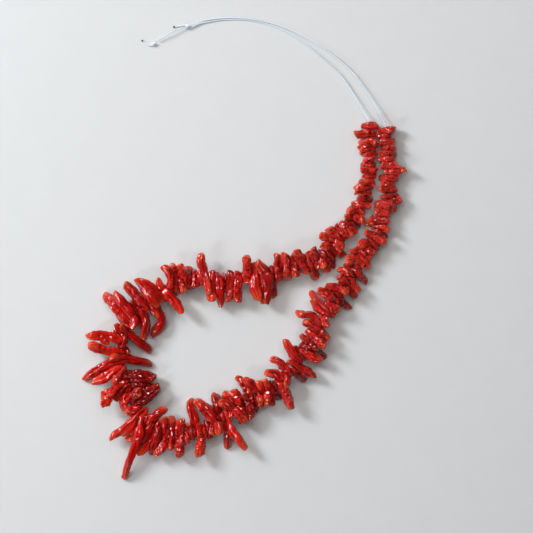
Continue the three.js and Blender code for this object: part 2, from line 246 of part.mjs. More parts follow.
    [[[61.56,78,3.53,1],[64.69,74.82,3.55,1.05],[65.93,74.89,3.3,0.92]], []],
    [[[63.31,76.9,3.68,1],[64.47,77.16,3.58,1.15],[67.07,77.32,4.21,1.82]], []]
  ]],
];

const wasm = await Module();
wasm.setup();

function toSolid(geometry) {
  const g = geometry.index ? geometry.clone() : geometry;
  g.deleteAttribute('normal');
  if (g.attributes.uv) g.deleteAttribute('uv');
  const m = mergeVertices(g, 1e-4);
  return new wasm.Manifold(new wasm.Mesh({
    numProp: 3,
    vertProperties: new Float32Array(m.attributes.position.array),
    triVerts: new Uint32Array(m.index.array),
  }));
}

function toGeometry(solid) {
  const mesh = solid.getMesh();
  const g = new THREE.BufferGeometry();
  g.setAttribute('position', new THREE.BufferAttribute(new Float32Array(mesh.vertProperties), 3));
  g.setIndex(new THREE.BufferAttribute(new Uint32Array(mesh.triVerts), 1));
  return g;
}

// A tapered limb, flat side down: one polygon section at each point, the first and last moved out to the blunt ends.
function limbGeometry(sections, grow = 0) {
  const P = sections.map(([x, y, z]) => new THREE.Vector3(x, y, z));
  const R = sections.map((s) => s[3] + grow);
  const H = sections.map((s) => (s[4] ?? s[3]) + grow);
  const n = P.length;
  const d0 = P[0].clone().sub(P[1]).normalize();
  const d1 = P[n - 1].clone().sub(P[n - 2]).normalize();
  const centres = [P[0].clone().addScaledVector(d0, R[0] * TIP_REACH), ...P.slice(1, -1), P[n - 1].clone().addScaledVector(d1, R[n - 1] * TIP_REACH)];
  const radii = [R[0] * TIP_RADIUS, ...R.slice(1, -1), R[n - 1] * TIP_RADIUS];
  const heights = [H[0] * TIP_RADIUS, ...H.slice(1, -1), H[n - 1] * TIP_RADIUS];
  const up = new THREE.Vector3(0, 0, 1);
  const position = [];
  const index = [];
  const m = centres.length;
  for (let i = 0; i < m; i++) {
    const t = centres[Math.min(i + 1, m - 1)].clone().sub(centres[Math.max(i - 1, 0)]).normalize();
    const side = new THREE.Vector3().crossVectors(t, up).normalize();
    const top = new THREE.Vector3().crossVectors(side, t).normalize();
    for (let k = 0; k < LIMB_SIDES; k++) {
      const a = (2 * Math.PI * k) / LIMB_SIDES + Math.PI / 2;
      const v = centres[i].clone().addScaledVector(side, Math.cos(a) * radii[i]).addScaledVector(top, Math.sin(a) * heights[i]);
      position.push(v.x, v.y, v.z);
    }
  }
  for (let i = 0; i < m - 1; i++) {
    for (let k = 0; k < LIMB_SIDES; k++) {
      const a = i * LIMB_SIDES + k, b = i * LIMB_SIDES + ((k + 1) % LIMB_SIDES);
      const c = a + LIMB_SIDES, d = b + LIMB_SIDES;
      index.push(a, c, b, b, c, d);
    }
  }
  for (let k = 1; k < LIMB_SIDES - 1; k++) {
    index.push(0, k, k + 1);
    const e = (m - 1) * LIMB_SIDES;
    index.push(e, e + k + 1, e + k);
  }
  const g = new THREE.BufferGeometry();
  g.setAttribute('position', new THREE.BufferAttribute(new Float32Array(position), 3));
  g.setIndex(index);
  return g;
}

function limbSolid(sections, grow = 0) {
  let s = toSolid(limbGeometry(sections, grow));
  if (s.volume() < 0) throw new Error('limb faces inwards');
  return s;
}

function section(radius, sides = LINE_SIDES) {
  const shape = new THREE.Shape();
  for (let k = 0; k < sides; k++) {
    const a = (2 * Math.PI * (k + 0.5)) / sides;
    if (k === 0) shape.moveTo(Math.cos(a) * radius, Math.sin(a) * radius);
    else shape.lineTo(Math.cos(a) * radius, Math.sin(a) * radius);
  }
  shape.closePath();
  return shape;
}

function lineGeometry(points, radius, steps, sides = LINE_SIDES) {
  const path = new THREE.CatmullRomCurve3(points.map((p) => new THREE.Vector3(...p)), false, 'centripetal');
  return new THREE.ExtrudeGeometry(section(radius, sides), { steps, bevelEnabled: false, extrudePath: path });
}

// Corner points of one chip: the top and underside of each blunt end and of its middle.
function chipPoints([[start, hole, end], forks], grow, sides) {
  const out = [];
  const put = (p, dx, dy, dz) => out.push(new THREE.Vector3(p[0] + dx, p[1] + dy, p[2] + dz));
  const reach = (p, from) => {
    const dx = p[0] - from[0], dy = p[1] - from[1], L = Math.hypot(dx, dy) || 1;
    const r = p[3] + grow;
    put(p, (dx / L) * r * 0.8, (dy / L) * r * 0.8, r * 0.6);
    put(p, (dx / L) * r * 0.8, (dy / L) * r * 0.8, -r * 0.6);
    if (p[2] < r) {   // an end that the strand rests on has a broad underside
      put(p, (-dy / L) * r * 0.7, (dx / L) * r * 0.7, -r);
      put(p, (dy / L) * r * 0.7, (-dx / L) * r * 0.7, -r);
    }
    if (sides) {
      put(p, (-dy / L) * r * 0.8, (dx / L) * r * 0.8, 0);
      put(p, (dy / L) * r * 0.8, (-dx / L) * r * 0.8, 0);
    }
  };
  reach(start, hole);
  reach(end, hole);
  forks.forEach((f) => reach(f, hole));
  const r = Math.max(hole[3], HUB_RADIUS) + grow;
  put(hole, 0, 0, r);
  put(hole, 0, 0, -r);
  if (sides) {
    const dx = end[0] - start[0], dy = end[1] - start[1], L = Math.hypot(dx, dy) || 1;
    put(hole, (-dy / L) * r, (dx / L) * r, 0);
    put(hole, (dy / L) * r, (-dx / L) * r, 0);
  }
  return out;
}

// Outer shape of a run: the hulls of each chip with the next, joined.
function runSolid(chips, grow = 0) {
  let solid = null;
  for (let i = 0; i < chips.length - 1; i++) {
    const pts = [...chipPoints(chips[i], grow, i === 0), ...chipPoints(chips[i + 1], grow, i === chips.length - 2)];
    const hull = toSolid(new ConvexGeometry(pts));
    solid = solid ? solid.add(hull) : hull;
  }
  return solid;
}

const hole = toSolid(lineGeometry(THREADED, HOLE_RADIUS, LINE_STEPS, HOLE_SIDES));
const below = toSolid(new THREE.BoxGeometry(400, 400, 20).translate(0, 0, -10));

function overlaps(a, b) {
  const A = a.boundingBox(), B = b.boundingBox();
  for (let k = 0; k < 3; k++) if (A.min[k] > B.max[k] || B.min[k] > A.max[k]) return false;
  return a.intersect(b).volume() > 1e-4;
}

const lerp = (a, b, t) => a + (b - a) * t;
function coralMaterial(tone) {
  return new THREE.MeshStandardMaterial({
    color: new THREE.Color(lerp(0.50, 0.86, tone), lerp(0.03, 0.24, tone), lerp(0.03, 0.17, tone)),
    roughness: 0.3,
    metalness: 0,
  });
}
const nylon = () => new THREE.MeshStandardMaterial({ color: new THREE.Color(0.78, 0.86, 0.93), roughness: 0.2, metalness: 0 });

const strand = new THREE.Group();
function place(name, geometry, material) {
  const mesh = new THREE.Mesh(geometry, material);
  mesh.name = name;
  strand.add(mesh);
}

// Longer pieces.
const grown = [];   // each finished piece again, larger by the clearance
for (const [name, tone, limbs] of BRANCHES) {
  const join = (grow) => limbs.map((l) => limbSolid(l, grow)).reduce((a, b) => a.add(b));
  const solid = join(0).subtract(hole).subtract(below);
  place(name, toGeometry(solid), coralMaterial(tone));
  grown.push(join(CLEARANCE));
}
// Chip runs, cut back where a longer piece or an earlier run lies across them.
for (const [name, tone, chips] of RUNS) {
  let solid = runSolid(chips);
  for (const g of grown) if (overlaps(solid, g)) solid = solid.subtract(g);
  solid = solid.subtract(hole).subtract(below);
  place(name, toGeometry(solid), coralMaterial(tone));
  grown.push(runSolid(chips, CLEARANCE));
}

// Line, knots and tails.
place('line_threaded', lineGeometry(THREADED, LINE_RADIUS, LINE_STEPS), nylon());
place('line_end_a', lineGeometry(END_A, LINE_RADIUS, END_A_STEPS), nylon());
place('line_end_b', lineGeometry(END_B, LINE_RADIUS, END_B_STEPS), nylon());

function knot(from, to, radius) {
  const a = new THREE.Vector3(...from), b = new THREE.Vector3(...to);
  const p = (t, r) => { const v = a.clone().lerp(b, t); return [v.x, v.y, v.z, r]; };
  return limbSolid([p(0, radius * 0.82), p(0.5, radius), p(1, radius * 0.82)]);
}
function tail(points) {
  const n = points.length;
  return limbSolid(points.map((p, i) => [...p, i === n - 1 ? TAIL_TIP_RADIUS : LINE_RADIUS]));
}
{
  const [c, u, v] = KNOT_A.map((p) => new THREE.Vector3(...p));
  const dir = v.clone().sub(u).normalize();
  const a = c.clone().addScaledVector(dir, -KNOT_A_LENGTH / 2 + 0.6), b = c.clone().addScaledVector(dir, KNOT_A_LENGTH / 2 - 0.6);
  const bore = toSolid(lineGeometry(END_B, LINE_RADIUS + CLEARANCE * 1.4, END_B_STEPS, HOLE_SIDES));
  const solid = knot(a.toArray(), b.toArray(), KNOT_A_RADIUS).add(tail(TAIL_A)).subtract(bore).subtract(below);
  place('knot_a', toGeometry(solid), nylon());
}
{
  const c = new THREE.Vector3(...KNOT_B[0]);
  const e = new THREE.Vector3(...END_B[END_B.length - 1]);
  const dir = c.clone().sub(e).normalize();
  const a = c.clone().addScaledVector(dir, -KNOT_B_LENGTH / 2 + 0.6), b = c.clone().addScaledVector(dir, KNOT_B_LENGTH / 2 - 0.6);
  const arrive = toSolid(lineGeometry(END_B, LINE_RADIUS + CLEARANCE * 1.4, END_B_STEPS, HOLE_SIDES));
  const solid = knot(a.toArray(), b.toArray(), KNOT_B_RADIUS).add(tail(TAIL_B)).subtract(arrive).subtract(below);
  place('knot_b', toGeometry(solid), nylon());
}

export default strand;
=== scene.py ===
# Strand of red coral branch pieces on a nylon line: looks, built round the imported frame.
import bpy
import math
import numpy as np
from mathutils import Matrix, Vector
from mathutils.bvhtree import BVHTree


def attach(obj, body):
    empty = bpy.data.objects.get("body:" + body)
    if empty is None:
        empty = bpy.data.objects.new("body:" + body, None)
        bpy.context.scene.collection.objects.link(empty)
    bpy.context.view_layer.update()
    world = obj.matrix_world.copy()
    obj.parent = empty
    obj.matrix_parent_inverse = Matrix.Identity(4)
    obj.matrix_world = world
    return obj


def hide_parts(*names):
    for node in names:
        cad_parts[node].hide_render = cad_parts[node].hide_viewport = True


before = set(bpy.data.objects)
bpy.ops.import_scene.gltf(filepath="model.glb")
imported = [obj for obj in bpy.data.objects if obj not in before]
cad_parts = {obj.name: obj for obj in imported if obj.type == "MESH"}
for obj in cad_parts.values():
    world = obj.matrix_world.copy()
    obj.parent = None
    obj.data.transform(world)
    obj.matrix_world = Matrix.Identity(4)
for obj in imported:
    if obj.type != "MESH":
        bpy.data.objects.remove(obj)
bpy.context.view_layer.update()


MM = 0.001

# ---- the strand (mm) -------------------------------------------------------
LINE_RADIUS = 0.25
HOLE_RADIUS = 0.42
# number, CAD node, tone (0 dark, 1 light), warmth, limbs of [x, y, z, radius]; the first limb is drilled
PIECES = [
    (1, "coral_chips_001_to_009", 0.55, 0.43, [[[54.06,79.58,3.4,0.97],[56.99,79.45,3.47,1.61],[58.78,79.5,3.9,1.68],[59.94,79.82,4.31,1.27]]]),
    (2, "coral_chips_001_to_009", 0.60, 0.42, [[[51.22,75.73,4.75,1.5],[53.53,75.74,4.29,1.36],[55.83,76.21,3.85,1.68],[57.18,76.24,3.47,1.61],[58.4,76.28,3.38,1.3]]]),
    (3, "coral_chips_001_to_009", 0.60, 0.41, [[[53.05,71.54,0.5,1],[54.91,72.57,2.14,1.46],[57.35,73.02,3.46,1.55],[58.94,72.9,3.56,1.04]], [[57.37,72.77,3.46,1.27],[59.64,71.49,5.54,1.05]]]),
    (4, "coral_chips_001_to_009", 0.62, 0.39, [[[53.12,68.95,4.48,1.09],[55.59,69.78,4.07,1.77],[57.38,69.88,3.46,1.5],[59.17,69.99,2.75,1.58]]]),
    (5, "coral_chips_001_to_009", 0.55, 0.38, [[[53.49,67.52,2.93,1.05],[55.25,67.07,3.04,1.27],[57.26,66.97,3.46,1.29],[59.54,67.17,3.28,1.04]]]),
    (6, "coral_chips_001_to_009", 0.75, 0.37, [[[55.06,63.2,3.57,1.04],[57.08,64.34,3.47,1.16],[58.33,64.76,3.57,1.33]]]),
    (7, "coral_chips_001_to_009", 0.35, 0.36, [[[54.46,61.76,0.59,1.09],[56.95,61.83,3.5,1.22],[59.22,61.59,3.23,1]]]),
    (8, "coral_chips_001_to_009", 0.55, 0.35, [[[54.47,59.35,3.65,1.54],[56.83,59.31,3.55,1.44],[59.08,59.19,3.65,1.54]]]),
    (9, "coral_chips_001_to_009", 0.70, 0.34, [[[54.79,56.77,3.71,1.04],[56.59,56.74,3.61,1.25],[59.32,56.95,2.73,1]]]),
    (10, "coral_chips_010_to_017", 0.68, 0.33, [[[53.19,54.09,3.18,1.24],[56.08,54.21,3.68,1.26],[58.82,53.62,3.78,1.12]]]),
    (11, "coral_chips_010_to_017", 0.60, 0.32, [[[51.72,51.37,5.97,1.41],[54.2,51.69,4.7,1.55],[55.32,51.69,3.76,1.26],[57.57,51.83,2.63,1.15]]]),
    (12, "coral_chips_010_to_017", 0.58, 0.31, [[[51.34,49.34,3.93,1.15],[54.39,49.13,3.83,1.32],[56.99,49.09,3.93,1.12]]]),
    (13, "coral_chips_010_to_017", 0.30, 0.30, [[[52.22,46.7,3.16,1.15],[53.34,46.51,3.91,1.39],[54.95,46.16,2.62,1.68],[57.23,45.44,0.96,1.46]]]),
    (14, "coral_chips_010_to_017", 0.78, 0.29, [[[49.99,43.87,4.08,1.15],[52.11,43.81,3.98,1.43],[54.61,43.41,3.76,1.32],[56.85,43,3.56,1.09]]]),
    (15, "coral_chips_010_to_017", 0.60, 0.28, [[[47.82,40.68,5.81,1.41],[50.77,41.01,4.04,1.45],[53.91,40.82,4.14,1.19]]]),
    (16, "coral_chips_010_to_017", 0.58, 0.27, [[[46.57,37.79,5.65,1.32],[49.36,38.18,4.1,1.41],[51.62,37.79,4.56,1.41],[53.85,36.96,5.1,1.36]]]),
    (17, "coral_chips_010_to_017", 0.28, 0.26, [[[46.9,36.24,3.28,0.92],[47.89,35.43,4.16,1.23],[50.53,34.68,1.93,1.41],[51.9,34.46,0.73,1.23]]]),
    (18, "coral_chips_018_to_025", 0.50, 0.25, [[[44.8,34.84,4.31,1.46],[46.28,32.94,4.21,1.42],[48.01,30.54,4.31,1.58]], [[47.18,32.96,4.36,1.29],[49.79,32.09,4.63,1.23],[50.02,31.18,4.86,1.14]]]),
    (19, "coral_chips_018_to_025", 0.45, 0.24, [[[42.19,33.82,4.06,1.14],[43.85,31.67,4.15,1.27],[44.56,30.72,4.27,1.26],[45.9,28.94,4.16,1.04]]]),
    (20, "coral_chips_018_to_025", 0.62, 0.24, [[[38.78,32.52,5.99,1.5],[40.59,31.07,5.18,1.46],[42.84,28.58,4.33,1.35],[44.62,26.9,2.58,1.15]]]),
    (21, "coral_chips_018_to_025", 0.55, 0.23, [[[35.14,29.5,5.63,1.55],[37.45,28.69,4.96,1.59],[40.04,27.17,4.45,1.74],[41.18,26.35,4.39,1.58],[42.86,25.31,5.37,1.93],[44.22,24.06,5.52,1.91]]]),
    (22, "coral_chips_018_to_025", 0.48, 0.22, [[[35.49,25.33,5.73,1.14],[37.77,24.77,5.53,1.73],[39.63,24.08,4.46,1.35],[42.7,22.49,3.02,1.41],[44.68,20.69,2.09,1.23]]]),
    (23, "coral_chips_018_to_025", 0.18, 0.21, [[[37.4,22.63,3.66,1.04],[38.11,21.97,4.53,1.16],[39.05,20.93,3.4,1.56],[39.93,18.32,2.09,1.68],[40.04,16.14,1,1.5]]]),
    (24, "coral_chips_018_to_025", 0.50, 0.20, [[[35.26,22.59,4.71,1.15],[36.53,20.22,4.61,1.14],[37.79,17.24,3.95,1.4],[37.9,13.81,3.2,1.32]]]),
    (25, "coral_chips_018_to_025", 0.80, 0.20, [[[34.04,20.24,3.85,0.92],[34.77,18.92,4.69,1.03],[35.32,17.93,5.67,1.39],[36.24,15.71,6.94,1.27]]]),
    (26, "coral_chips_026_to_031", 0.32, 0.19, [[[31.41,23.11,6.61,1.32],[32.23,19.73,5.93,1.54],[32.65,18.06,4.77,1.22],[33.47,15.17,4.87,1.18]]]),
    (27, "coral_chips_026_to_031", 0.45, 0.18, [[[29.14,21.37,4.93,1.32],[29.86,17.48,4.85,1.38],[31.17,14.08,3.48,1.59],[32.43,11.38,1.27,1.77]]]),
    (28, "coral_chips_026_to_031", 0.42, 0.17, [[[24.14,22.36,6.92,1.5],[25.24,19.27,5.92,2.09],[26.37,16.94,4.91,1.8],[26.99,15.54,5.06,2.09],[28.49,12.94,5.1,1.41]], [[25.24,19.26,5.92,1.41],[22.75,21.13,6.66,1.18]]]),
    (29, "coral_chips_026_to_031", 0.45, 0.17, [[[21.88,19.9,4.34,1.23],[22.63,16.27,4.97,1.43],[23.63,11.69,6.64,1.36]]]),
    (30, "coral_chips_026_to_031", 0.55, 0.16, [[[18.97,20.61,7.22,1.46],[18.87,17.29,6.25,1.96],[19.09,15.46,5.02,1.65],[19.43,13.65,5.02,1.87],[19.64,10.96,4.95,1.64]]]),
    (31, "coral_chips_026_to_031", 0.42, 0.15, [[[15.26,20.25,6.05,1.46],[15.52,16.18,5.46,1.59],[15.82,14.63,5.06,1.57],[16.05,12.53,4.81,1.55],[15.93,9.45,4.49,1.36]]]),
    (32, "coral_branch_032", 0.38, 0.14, [[[12.51,15.08,4.95,0.9],[12.55,13.83,5.1,1.02],[12.92,9.47,3.55,1.14],[13.29,4.79,2.41,1.27],[13.37,2.03,0.64,1.14]]]),
    (33, "coral_branch_033", 0.30, 0.14, [[[6.46,17.09,6.97,1.59],[8.52,14.1,6.01,2.07],[8.97,13.08,5.14,1.87],[10.01,10.42,6.16,2.28],[10.47,6.87,5.95,2.09],[9.15,3.27,5.81,1.55],[8.69,-0.59,5.76,1.18]], [[10.47,6.42,5.94,1.5],[10.52,2.36,5.87,1.55],[10.3,-0.5,5.84,1.23]]]),
    (34, "coral_branch_034", 0.65, 0.13, [[[4.87,16.64,4.28,1.23],[5.05,12.34,5.17,1.54],[5.19,8.91,5.93,1.73],[5.5,4.76,6.68,2],[6.34,1.4,7.41,1.55]]]),
    (35, "coral_chips_035_to_038", 0.58, 0.12, [[[1.39,19.01,7.68,1.68],[1.45,14.99,6.44,1.68],[1.06,11.63,5.19,1.8],[1,8.94,5.29,1.35]]]),
    (36, "coral_chips_035_to_038", 0.50, 0.12, [[[-2.66,12.24,5.31,1.24],[-2.68,11.01,5.21,1.54],[-2.83,8.16,5.45,1.5],[-2.97,3.97,5.66,1.5],[-3.1,0.5,5.86,1.36]]]),
    (37, "coral_chips_035_to_038", 0.35, 0.11, [[[-5.78,12.72,5.32,1.15],[-5.92,10.56,5.22,1.39],[-6.15,8.53,5.17,1.55],[-6.51,3.91,5.06,1.5],[-6.89,0.31,4.95,1.23]]]),
    (38, "coral_chips_035_to_038", 0.30, 0.11, [[[-8.84,11.58,5.33,0.94],[-8.75,10.34,5.23,1.16],[-8.58,8.05,3.4,1.23],[-8.52,4.36,0.55,1.05]]]),
    (39, "coral_branch_039", 0.42, 0.10, [[[-11.58,11.25,5.33,1.39],[-11.54,10.29,5.23,1.42],[-11.09,7.5,5.79,1.8],[-10.94,3.82,5.4,1.75],[-10.68,0.63,4.91,1.36],[-10.88,-2.01,4.49,0.91]]]),
    (40, "coral_branch_040", 0.50, 0.10, [[[-14.69,12.46,5.32,1.46],[-14.47,10.32,5.22,1.48],[-14.47,8.71,4.35,1.86],[-14.69,4.66,5.16,1.77],[-14.73,0.45,6.76,1.55]]]),
    (41, "coral_branch_041", 0.60, 0.09, [[[-19.22,20.56,7.16,1.23],[-19.53,18.13,6.55,1.5],[-18.53,14.47,5.87,1.36],[-17.36,10.34,5.21,1.21],[-16.54,6.78,7.19,1.22],[-15.87,3.88,8.28,1.04]]]),
    (42, "coral_chips_042_to_048", 0.72, 0.09, [[[-20.58,12.84,5.29,1.04],[-20,10.28,5.19,1.18],[-19.23,7.77,5.23,1]]]),
    (43, "coral_chips_042_to_048", 0.40, 0.08, [[[-22.56,13.09,4.39,1.15],[-22.35,10.07,5.16,1.2],[-22.11,7.04,6.21,1.55]]]),
    (44, "coral_chips_042_to_048", 0.22, 0.08, [[[-25.26,14.38,0.86,1.36],[-24.52,9.72,5.14,1.13],[-24.14,6.32,4.43,1.27]]]),
    (45, "coral_chips_042_to_048", 0.70, 0.07, [[[-28.82,15.98,7.22,1.14],[-27.81,12.57,6.21,1.46],[-26.63,9.25,5.13,1.07],[-26.24,7.16,5.23,0.94]]]),
    (46, "coral_chips_042_to_048", 0.50, 0.07, [[[-30.68,14.45,3.65,1.26],[-29.41,10.84,4.01,1.4],[-28.75,8.62,5.13,1.25],[-28.19,7.02,4.96,1.5],[-27.22,4.97,5.89,1.55]]]),
    (47, "coral_chips_042_to_048", 0.40, 0.06, [[[-33.06,15.27,6.05,1.41],[-31.82,11.87,5.7,1.49],[-31,7.74,5.15,1.25],[-30.56,3.83,3.95,1.41]]]),
    (48, "coral_chips_042_to_048", 0.80, 0.06, [[[-36.24,15.3,7.68,1.27],[-34.41,13.17,7.63,1.27],[-33.47,9.79,6.91,1.23],[-33.53,6.43,5.16,1.09],[-34.09,4.9,3.76,0.91]]]),
    (49, "coral_branch_049", 0.52, 0.05, [[[-39.38,9.17,5.86,1.14],[-37.83,6.09,5.54,1.46],[-36.45,4.61,5.17,1.47],[-35.12,3.35,6.15,1.58],[-31.75,-0.39,6.7,1.81],[-28.59,-4.65,7.22,1.32]]]),
    (50, "coral_branch_050", 0.48, 0.05, [[[-48.75,9.58,6.77,1],[-45.61,7.54,6.29,1.85],[-42.29,5.17,5.8,2.2],[-39.65,2.58,5.19,2.1],[-38.29,2.17,4.92,2],[-36.22,0.61,4.49,1.41]], [[-46.94,7.34,6.47,1.05],[-44.4,4.01,7.19,1.5],[-41.96,0.86,8.04,1.62],[-39.5,-1.94,7.18,1.21]], [[-46.94,7.34,6.47,1.09],[-44.38,4.84,6.7,1.49],[-41.27,2,7.01,1.65],[-38.56,-0.09,6.28,1.32]]]),
    (51, "coral_branch_051", 0.38, 0.04, [[[-43.66,0.72,4.99,1.23],[-42.82,-0.18,5.21,1.41],[-41.4,-2.1,4.69,1.64],[-39.2,-5.62,4.19,1.68],[-37.83,-9.3,3.3,1.65],[-39.38,-12.85,2.5,2],[-41.47,-14.48,1.9,1.75]], [[-42.79,-0.71,5.04,1.14],[-41.99,-3.28,5.02,1.32],[-40.74,-5.62,4.96,1.09]]]),
    (52, "coral_branch_052", 0.42, 0.04, [[[-53.5,7.02,7.22,1.5],[-50.91,4.19,6.55,1.82],[-47.65,0.41,5.84,1.86],[-45.33,-2.51,5.22,1.32],[-44.6,-3.51,5.32,1.07]]]),
    (53, "coral_branch_053", 0.35, 0.04, [[[-47.75,-3.4,5.33,0.9],[-47.22,-4.5,5.23,1.04],[-44.97,-7.93,5.64,1.45],[-44.79,-12.48,5.4,1.8],[-45.84,-16.67,5.2,1.5]]]),
    (54, "coral_branch_054", 0.12, 0.03, [[[-50.99,-0.85,4.04,1.46],[-49.7,-3.75,4.21,1.11],[-48.81,-6.28,5.23,1.02],[-48.4,-7.44,4.21,0.84]], [[-48.85,-6.05,5,0.96],[-48.03,-8.57,4.34,1.17],[-48.05,-10.04,5.06,1.05]]]),
    (55, "coral_branch_055", 0.48, 0.03, [[[-58.56,3.08,6.31,1.14],[-56.76,1.12,6.34,1.64],[-54.47,-2.11,6.42,1.91],[-51.97,-5.33,6.35,1.79],[-50.34,-8.11,5.22,1.23],[-49.65,-9.14,5.32,0.98]], [[-51.1,-7.46,5.63,1.17],[-49.56,-9.78,7.08,1.17],[-50.44,-12.08,7.72,1.07]]]),
    (56, "coral_branch_056", 0.55, 0.03, [[[-63.29,2.46,1.05,1.55],[-61.33,0.5,3.15,1.91],[-59.03,-2.23,4.39,1.91],[-56.47,-5.25,5.1,1.74],[-54,-8.1,5.43,1.46],[-51.74,-10.06,5.2,1.02],[-50.85,-10.92,5.3,0.84]]]),
    (57, "coral_branch_057", 0.50, 0.03, [[[-57.67,-6.19,2.68,0.97],[-55.72,-8.47,2.95,1.05],[-53.74,-11.15,4.01,1.19],[-52.85,-12.03,5.18,1.02],[-52.11,-12.75,4.31,0.93]]]),
    (58, "coral_branch_058", 0.25, 0.02, [[[-55.78,-11.77,7.48,0.93],[-53.78,-14.13,5.16,1.02],[-50.86,-16.33,4.79,1.3],[-47.52,-19.18,3.91,1.59],[-44.67,-21.41,2.35,1.41],[-43.13,-22.71,0.73,1.23]]]),
    (59, "coral_branch_059", 0.35, 0.02, [[[-59.27,-14.69,4.24,1.12],[-57.36,-13.41,4.14,1.32],[-55.61,-14.74,3.7,0.8],[-54.58,-16.33,5.15,1.02],[-53.99,-16.77,4.37,0.98]], [[-55.57,-15.52,4.34,1.08],[-56.45,-12.62,4.46,1.17],[-57.81,-11.02,5.4,1.05]]]),
    (60, "coral_branch_060", 0.60, 0.02, [[[-70.5,-16.6,6.31,1.46],[-68.32,-16.13,6.19,1.82],[-65.82,-15.55,6.08,1.68],[-62.62,-15.87,5.97,1.55],[-59.39,-16.93,5.83,1.44],[-56.32,-18.12,5.43,1.31],[-55.25,-18.56,5.16,1.02],[-53.72,-19.42,3.96,0.6]], [[-63.53,-16.33,6,1.27],[-63.5,-18.43,5.96,1.23],[-62.33,-19.81,5.94,1]]]),
    (61, "coral_branch_061", 0.25, 0.02, [[[-56.82,-20.25,4.15,0.92],[-55.8,-21.01,5.19,1.02],[-53.6,-22.54,4.64,0.87],[-52.61,-23.75,5.37,0.96]], [[-55.23,-21.24,4.98,0.69],[-54.34,-19.27,6.86,0.71],[-53.96,-17.13,7.05,0.87]]]),
    (62, "coral_branch_062", 0.66, 0.01, [[[-69.74,-20.39,6.31,1.68],[-67.43,-21.32,6.04,2.09],[-64.64,-22.19,5.73,1.73],[-61.77,-22.96,5.37,1.73],[-58.97,-23.11,4.93,1.74],[-56.13,-23.34,5.23,1.07],[-54.97,-23.54,5.33,0.7]]]),
    (63, "coral_branch_063", 0.32, 0.01, [[[-59.68,-25.66,7.77,1.46],[-56.26,-25.64,5.28,1.32],[-54.43,-25.85,4.49,1.61],[-50.91,-26.92,3.75,1.59],[-46.93,-27.76,2.62,1.46],[-43.21,-28.69,0.77,1.27]]]),
    (64, "coral_branch_064", 0.50, 0.01, [[[-72.09,-35.34,0.91,1.41],[-69.86,-33.55,2.75,1.68],[-66.9,-31.74,3.82,1.77],[-63.23,-29.78,4.46,1.77],[-60.02,-28.15,4.85,1.62],[-56.24,-27.96,5.32,1.09],[-54.68,-28.43,5.42,0.84]]]),
    (65, "coral_branch_065", 0.85, 0.01, [[[-68.03,-36.89,5.4,1.36],[-65.64,-36.21,5.42,1.77],[-62.93,-35.02,5.44,1.82],[-60.2,-32.78,5.47,1.64],[-57.79,-30.89,5.51,1.35],[-56.05,-30.25,5.34,1.02],[-54.87,-30.04,4.55,0.68]]]),
    (66, "coral_chips_066_to_074", 0.62, 0.01, [[[-58.78,-36.99,7.47,1.14],[-57.4,-34.37,6.9,1.19],[-55.68,-32.47,5.36,1.02],[-53.93,-30.53,7.69,0.53]]]),
    (67, "coral_chips_066_to_074", 0.15, 0.01, [[[-56.26,-34.84,4.23,0.96],[-55.05,-34.59,5.36,1.26],[-53.03,-34.14,4.68,1.9],[-49.12,-34.32,4.84,2.55],[-45.16,-34.41,4.92,2.45],[-41.79,-35.23,4.95,1.95]], [[-45.26,-34.83,4.92,1.55],[-41.36,-34.06,4.95,1.23]]]),
    (68, "coral_chips_066_to_074", 0.75, 0.00, [[[-62.16,-43.41,7.22,1.59],[-60.06,-41.4,6.67,1.73],[-58.04,-38.98,6.11,1.41],[-55.76,-37.25,5.73,1.23],[-54.28,-36.65,5.35,1.06],[-53.1,-36.36,5.45,0.85]], [[-61.52,-42.46,7.01,1.27],[-62.82,-41.13,7.03,1]], [[-62.16,-43.06,7.15,1.27],[-64.26,-42.24,7.22,0.91]], [[-62.16,-43.54,7.22,1.27],[-64.27,-44.25,7.22,0.96]], [[-61.7,-43.94,7.22,1.36],[-63.22,-45.71,7.22,1.18],[-64.44,-47.23,7.22,1.09]], [[-60.65,-42.83,6.94,1.46],[-61.22,-45.12,7.1,1.32],[-62.12,-47.17,7.22,1.18]]]),
    (69, "coral_chips_066_to_074", 0.28, 0.00, [[[-58.49,-44.59,4.49,1.09],[-56.96,-43.12,4.51,1.41],[-55.36,-40.48,4.49,1.44],[-53.44,-38.67,5.35,1.02],[-52.49,-37.91,5.09,0.85]]]),
    (70, "coral_chips_066_to_074", 0.16, 0.00, [[[-39.72,-39.44,0.82,1.32],[-42.5,-39.92,1.91,1.68],[-46.04,-40.39,2.47,1.68],[-49.7,-40.52,3.42,1.08],[-52.53,-40.71,5.36,1.02],[-53.64,-41.01,5.46,0.75]], [[-42.5,-39.16,1.91,1.32],[-45.98,-38.4,3.2,1.46],[-49.54,-38.3,3.75,1.27],[-52.03,-39.42,3.76,1.09]]]),
    (71, "coral_chips_066_to_074", 0.55, 0.00, [[[-54.09,-49.53,5.04,1.14],[-54.74,-47.1,5.25,1.73],[-53.74,-44.55,5.31,1.73],[-51.58,-42.7,5.37,1.06],[-50.53,-41.8,5.47,0.68]]]),
    (72, "coral_chips_066_to_074", 0.30, 0.00, [[[-48.43,-40.51,7.74,1.46],[-49.41,-42.89,7.16,1.46],[-50.54,-44.7,5.4,1.02],[-50.67,-48.11,2.54,0.5]], [[-49.42,-42.8,7.16,1.33],[-47.44,-43.14,8.01,1.14]]]),
    (73, "coral_chips_066_to_074", 0.12, 0.00, [[[-39.38,-39.6,4.94,1.75],[-40.83,-40.69,5.2,2.15],[-43.38,-42.69,5.2,2.65],[-46.34,-44.61,4.9,2.5],[-48.51,-45.93,5.57,1.3],[-49.44,-46.65,5.43,1.02],[-50.07,-47.72,4.97,0.47]]]),
